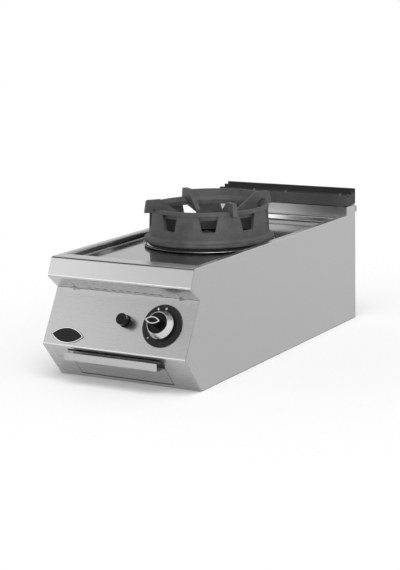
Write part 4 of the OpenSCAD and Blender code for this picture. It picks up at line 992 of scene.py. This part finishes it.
@dataclass
class Studio:
    """Camera of the photograph's view, pale floor and soft light."""

    azimuth: float = 30.54
    elevation: float = 11.71
    roll: float = -1.27
    eye: Point3 = (1.98088, -3.40725, 0.98081)
    focal_px: float = 1550.42
    frame_px: float = 570.0
    sensor: float = 36.0
    far_clip: float = 200.0
    floor_half: float = 60.0
    floor_drop: float = 0.0005
    # Room's light near the horizon and overhead, and the heights on its unit sphere between which it darkens
    horizon_level: float = 1.07
    overhead_level: float = 0.55
    dim_from: float = 0.42
    dim_to: float = 0.7
    # Key from above the camera, clear of what the front, the side and the top reflect
    key_way: Point3 = (0.25, -0.3, 0.95)
    key_level: float = 1.5
    key_spread: float = 40.0
    # Spot from the camera's side on the castings alone
    spot_at: Point3 = (1.5, -2.0, 0.95)
    spot_aim: Point3 = (0.0, 0.21, 0.37)
    spot_cone: float = 15.5
    spot_blend: float = 0.6
    spot_radius: float = 0.12
    spot_watts: float = 115.0
    # Soft box at the front left, close enough that the front's reflection of it fades to the right
    box_at: Point3 = (-1.5, -1.55, 1.05)
    box_aim: Point3 = (0.0, -0.4, 0.2)
    box_size: float = 0.9
    box_watts: float = 1.05
    patches: tuple[RoomPatch, ...] = (
        # Low in front, for the light along the folds
        RoomPatch((-0.55, -0.82, 0.12), 0.955, 0.99, 1.3),
        # Grey wall behind, which the basin's floor mirrors
        RoomPatch((-0.5, 0.85, 0.17), 0.88, 0.97, -0.26),
        # Dark ceiling, which shows as a line in the bend over the nose
        RoomPatch((-0.5, -0.05, 0.86), 0.88, 0.97, -0.5),
        # Darker stretch high behind, so that the bend at the basin's foot stays quiet
        RoomPatch((-0.08, 0.84, 0.54), 0.93, 0.985, -0.38),
    )

    def camera(self) -> None:
        """Set the camera where the photograph was taken."""
        az, el, roll = (math.radians(a) for a in (self.azimuth, self.elevation, self.roll))
        back = Vector((math.sin(az) * math.cos(el), -math.cos(az) * math.cos(el), math.sin(el)))
        x = Vector((0, 0, 1)).cross(back).normalized()
        y = back.cross(x)
        right = x * math.cos(roll) + y * math.sin(roll)
        up = y * math.cos(roll) - x * math.sin(roll)
        data = bpy.data.cameras.new("camera")
        data.sensor_width = self.sensor
        data.lens = self.focal_px / self.frame_px * self.sensor
        data.clip_end = self.far_clip
        data.dof.use_dof = False
        camera = bpy.data.objects.new("camera", data)
        camera.matrix_world = Matrix.Translation(self.eye) @ Matrix((right, up, back)).transposed().to_4x4()
        bpy.context.scene.collection.objects.link(camera)
        bpy.context.scene.camera = camera

    def floor(self) -> None:
        """Lay the pale floor under the base."""
        mesh = bmesh.new()
        bmesh.ops.create_grid(mesh, x_segments=1, y_segments=1, size=self.floor_half)
        data = bpy.data.meshes.new("floor")
        mesh.to_mesh(data)
        mesh.free()
        data.materials.append(material_of(StudioFloor()))
        floor = bpy.data.objects.new("floor", data)
        floor.location.z = -self.floor_drop
        bpy.context.scene.collection.objects.link(floor)

    def world(self) -> None:
        """Light the room evenly, bright near the horizon and softer overhead, with its patches."""
        world = bpy.data.worlds.new("studio")
        bpy.context.scene.world = world
        world.use_nodes = True
        tree = world.node_tree
        tree.nodes.clear()
        way = add_node(tree, "ShaderNodeTexCoord").outputs["Generated"]
        height = add_node(tree, "ShaderNodeSeparateXYZ", links={0: way}).outputs["Z"]
        level = add_node(
            tree, "ShaderNodeMapRange",
            {"interpolation_type": "SMOOTHSTEP", "From Min": self.dim_from, "From Max": self.dim_to,
             "To Min": self.horizon_level, "To Max": self.overhead_level},
            {"Value": height},
        ).outputs[0]
        for patch in self.patches:
            near = add_node(
                tree, "ShaderNodeVectorMath",
                {"operation": "DOT_PRODUCT", 1: Vector(patch.way).normalized()}, {0: way},
            ).outputs["Value"]
            added = add_node(
                tree, "ShaderNodeMapRange",
                {"interpolation_type": "SMOOTHSTEP", "From Min": patch.edge, "From Max": patch.core,
                 "To Max": patch.added},
                {"Value": near},
            ).outputs[0]
            level = add_node(tree, "ShaderNodeMath", {"operation": "ADD"}, {0: level, 1: added}).outputs[0]
        light = add_node(tree, "ShaderNodeBackground", {"Color": WHITE}, {"Strength": level})
        add_node(tree, "ShaderNodeOutputWorld", links={"Surface": light.outputs[0]})

    def lamps(self) -> None:
        """Hang the key overhead, the soft box at the front left and the spot on the castings."""
        key = bpy.data.lights.new("key", "SUN")
        key.energy = self.key_level
        key.angle = math.radians(self.key_spread)
        box = bpy.data.lights.new("soft_box", "AREA")
        box.energy = self.box_watts
        box.size = self.box_size
        spot = bpy.data.lights.new("casting_spot", "SPOT")
        spot.energy = self.spot_watts
        spot.spot_size = math.radians(self.spot_cone)
        spot.spot_blend = self.spot_blend
        spot.shadow_soft_size = self.spot_radius
        origin = (0.0, 0.0, 0.0)
        hung = (
            (key, self.key_way, origin), (box, self.box_at, self.box_aim), (spot, self.spot_at, self.spot_aim)
        )
        for data, at, aim in hung:
            lamp = bpy.data.objects.new(data.name, data)
            lamp.location = at
            lamp.rotation_euler = (Vector(at) - Vector(aim)).to_track_quat("Z", "Y").to_euler()
            bpy.context.scene.collection.objects.link(lamp)

    def build(self) -> None:
        """Set up the whole studio."""
        bpy.context.scene.view_settings.view_transform = "Standard"
        self.camera()
        self.floor()
        self.world()
        self.lamps()
        LOG.info("studio: camera at %s", self.eye)


def main() -> None:
    """Build the studio, then dress and complete each sub-assembly."""
    logging.basicConfig(level=logging.INFO, format="%(name)s: %(message)s")
    Studio().build()
    stand, controls, fasteners = WokStand(), Controls(), Fasteners()
    for assembly in (Skins(), stand, controls, fasteners, BurnerGroup()):
        assembly.dress()
    for assembly in (stand, controls, fasteners):
        assembly.build()


if __name__ == "__main__":
    main()
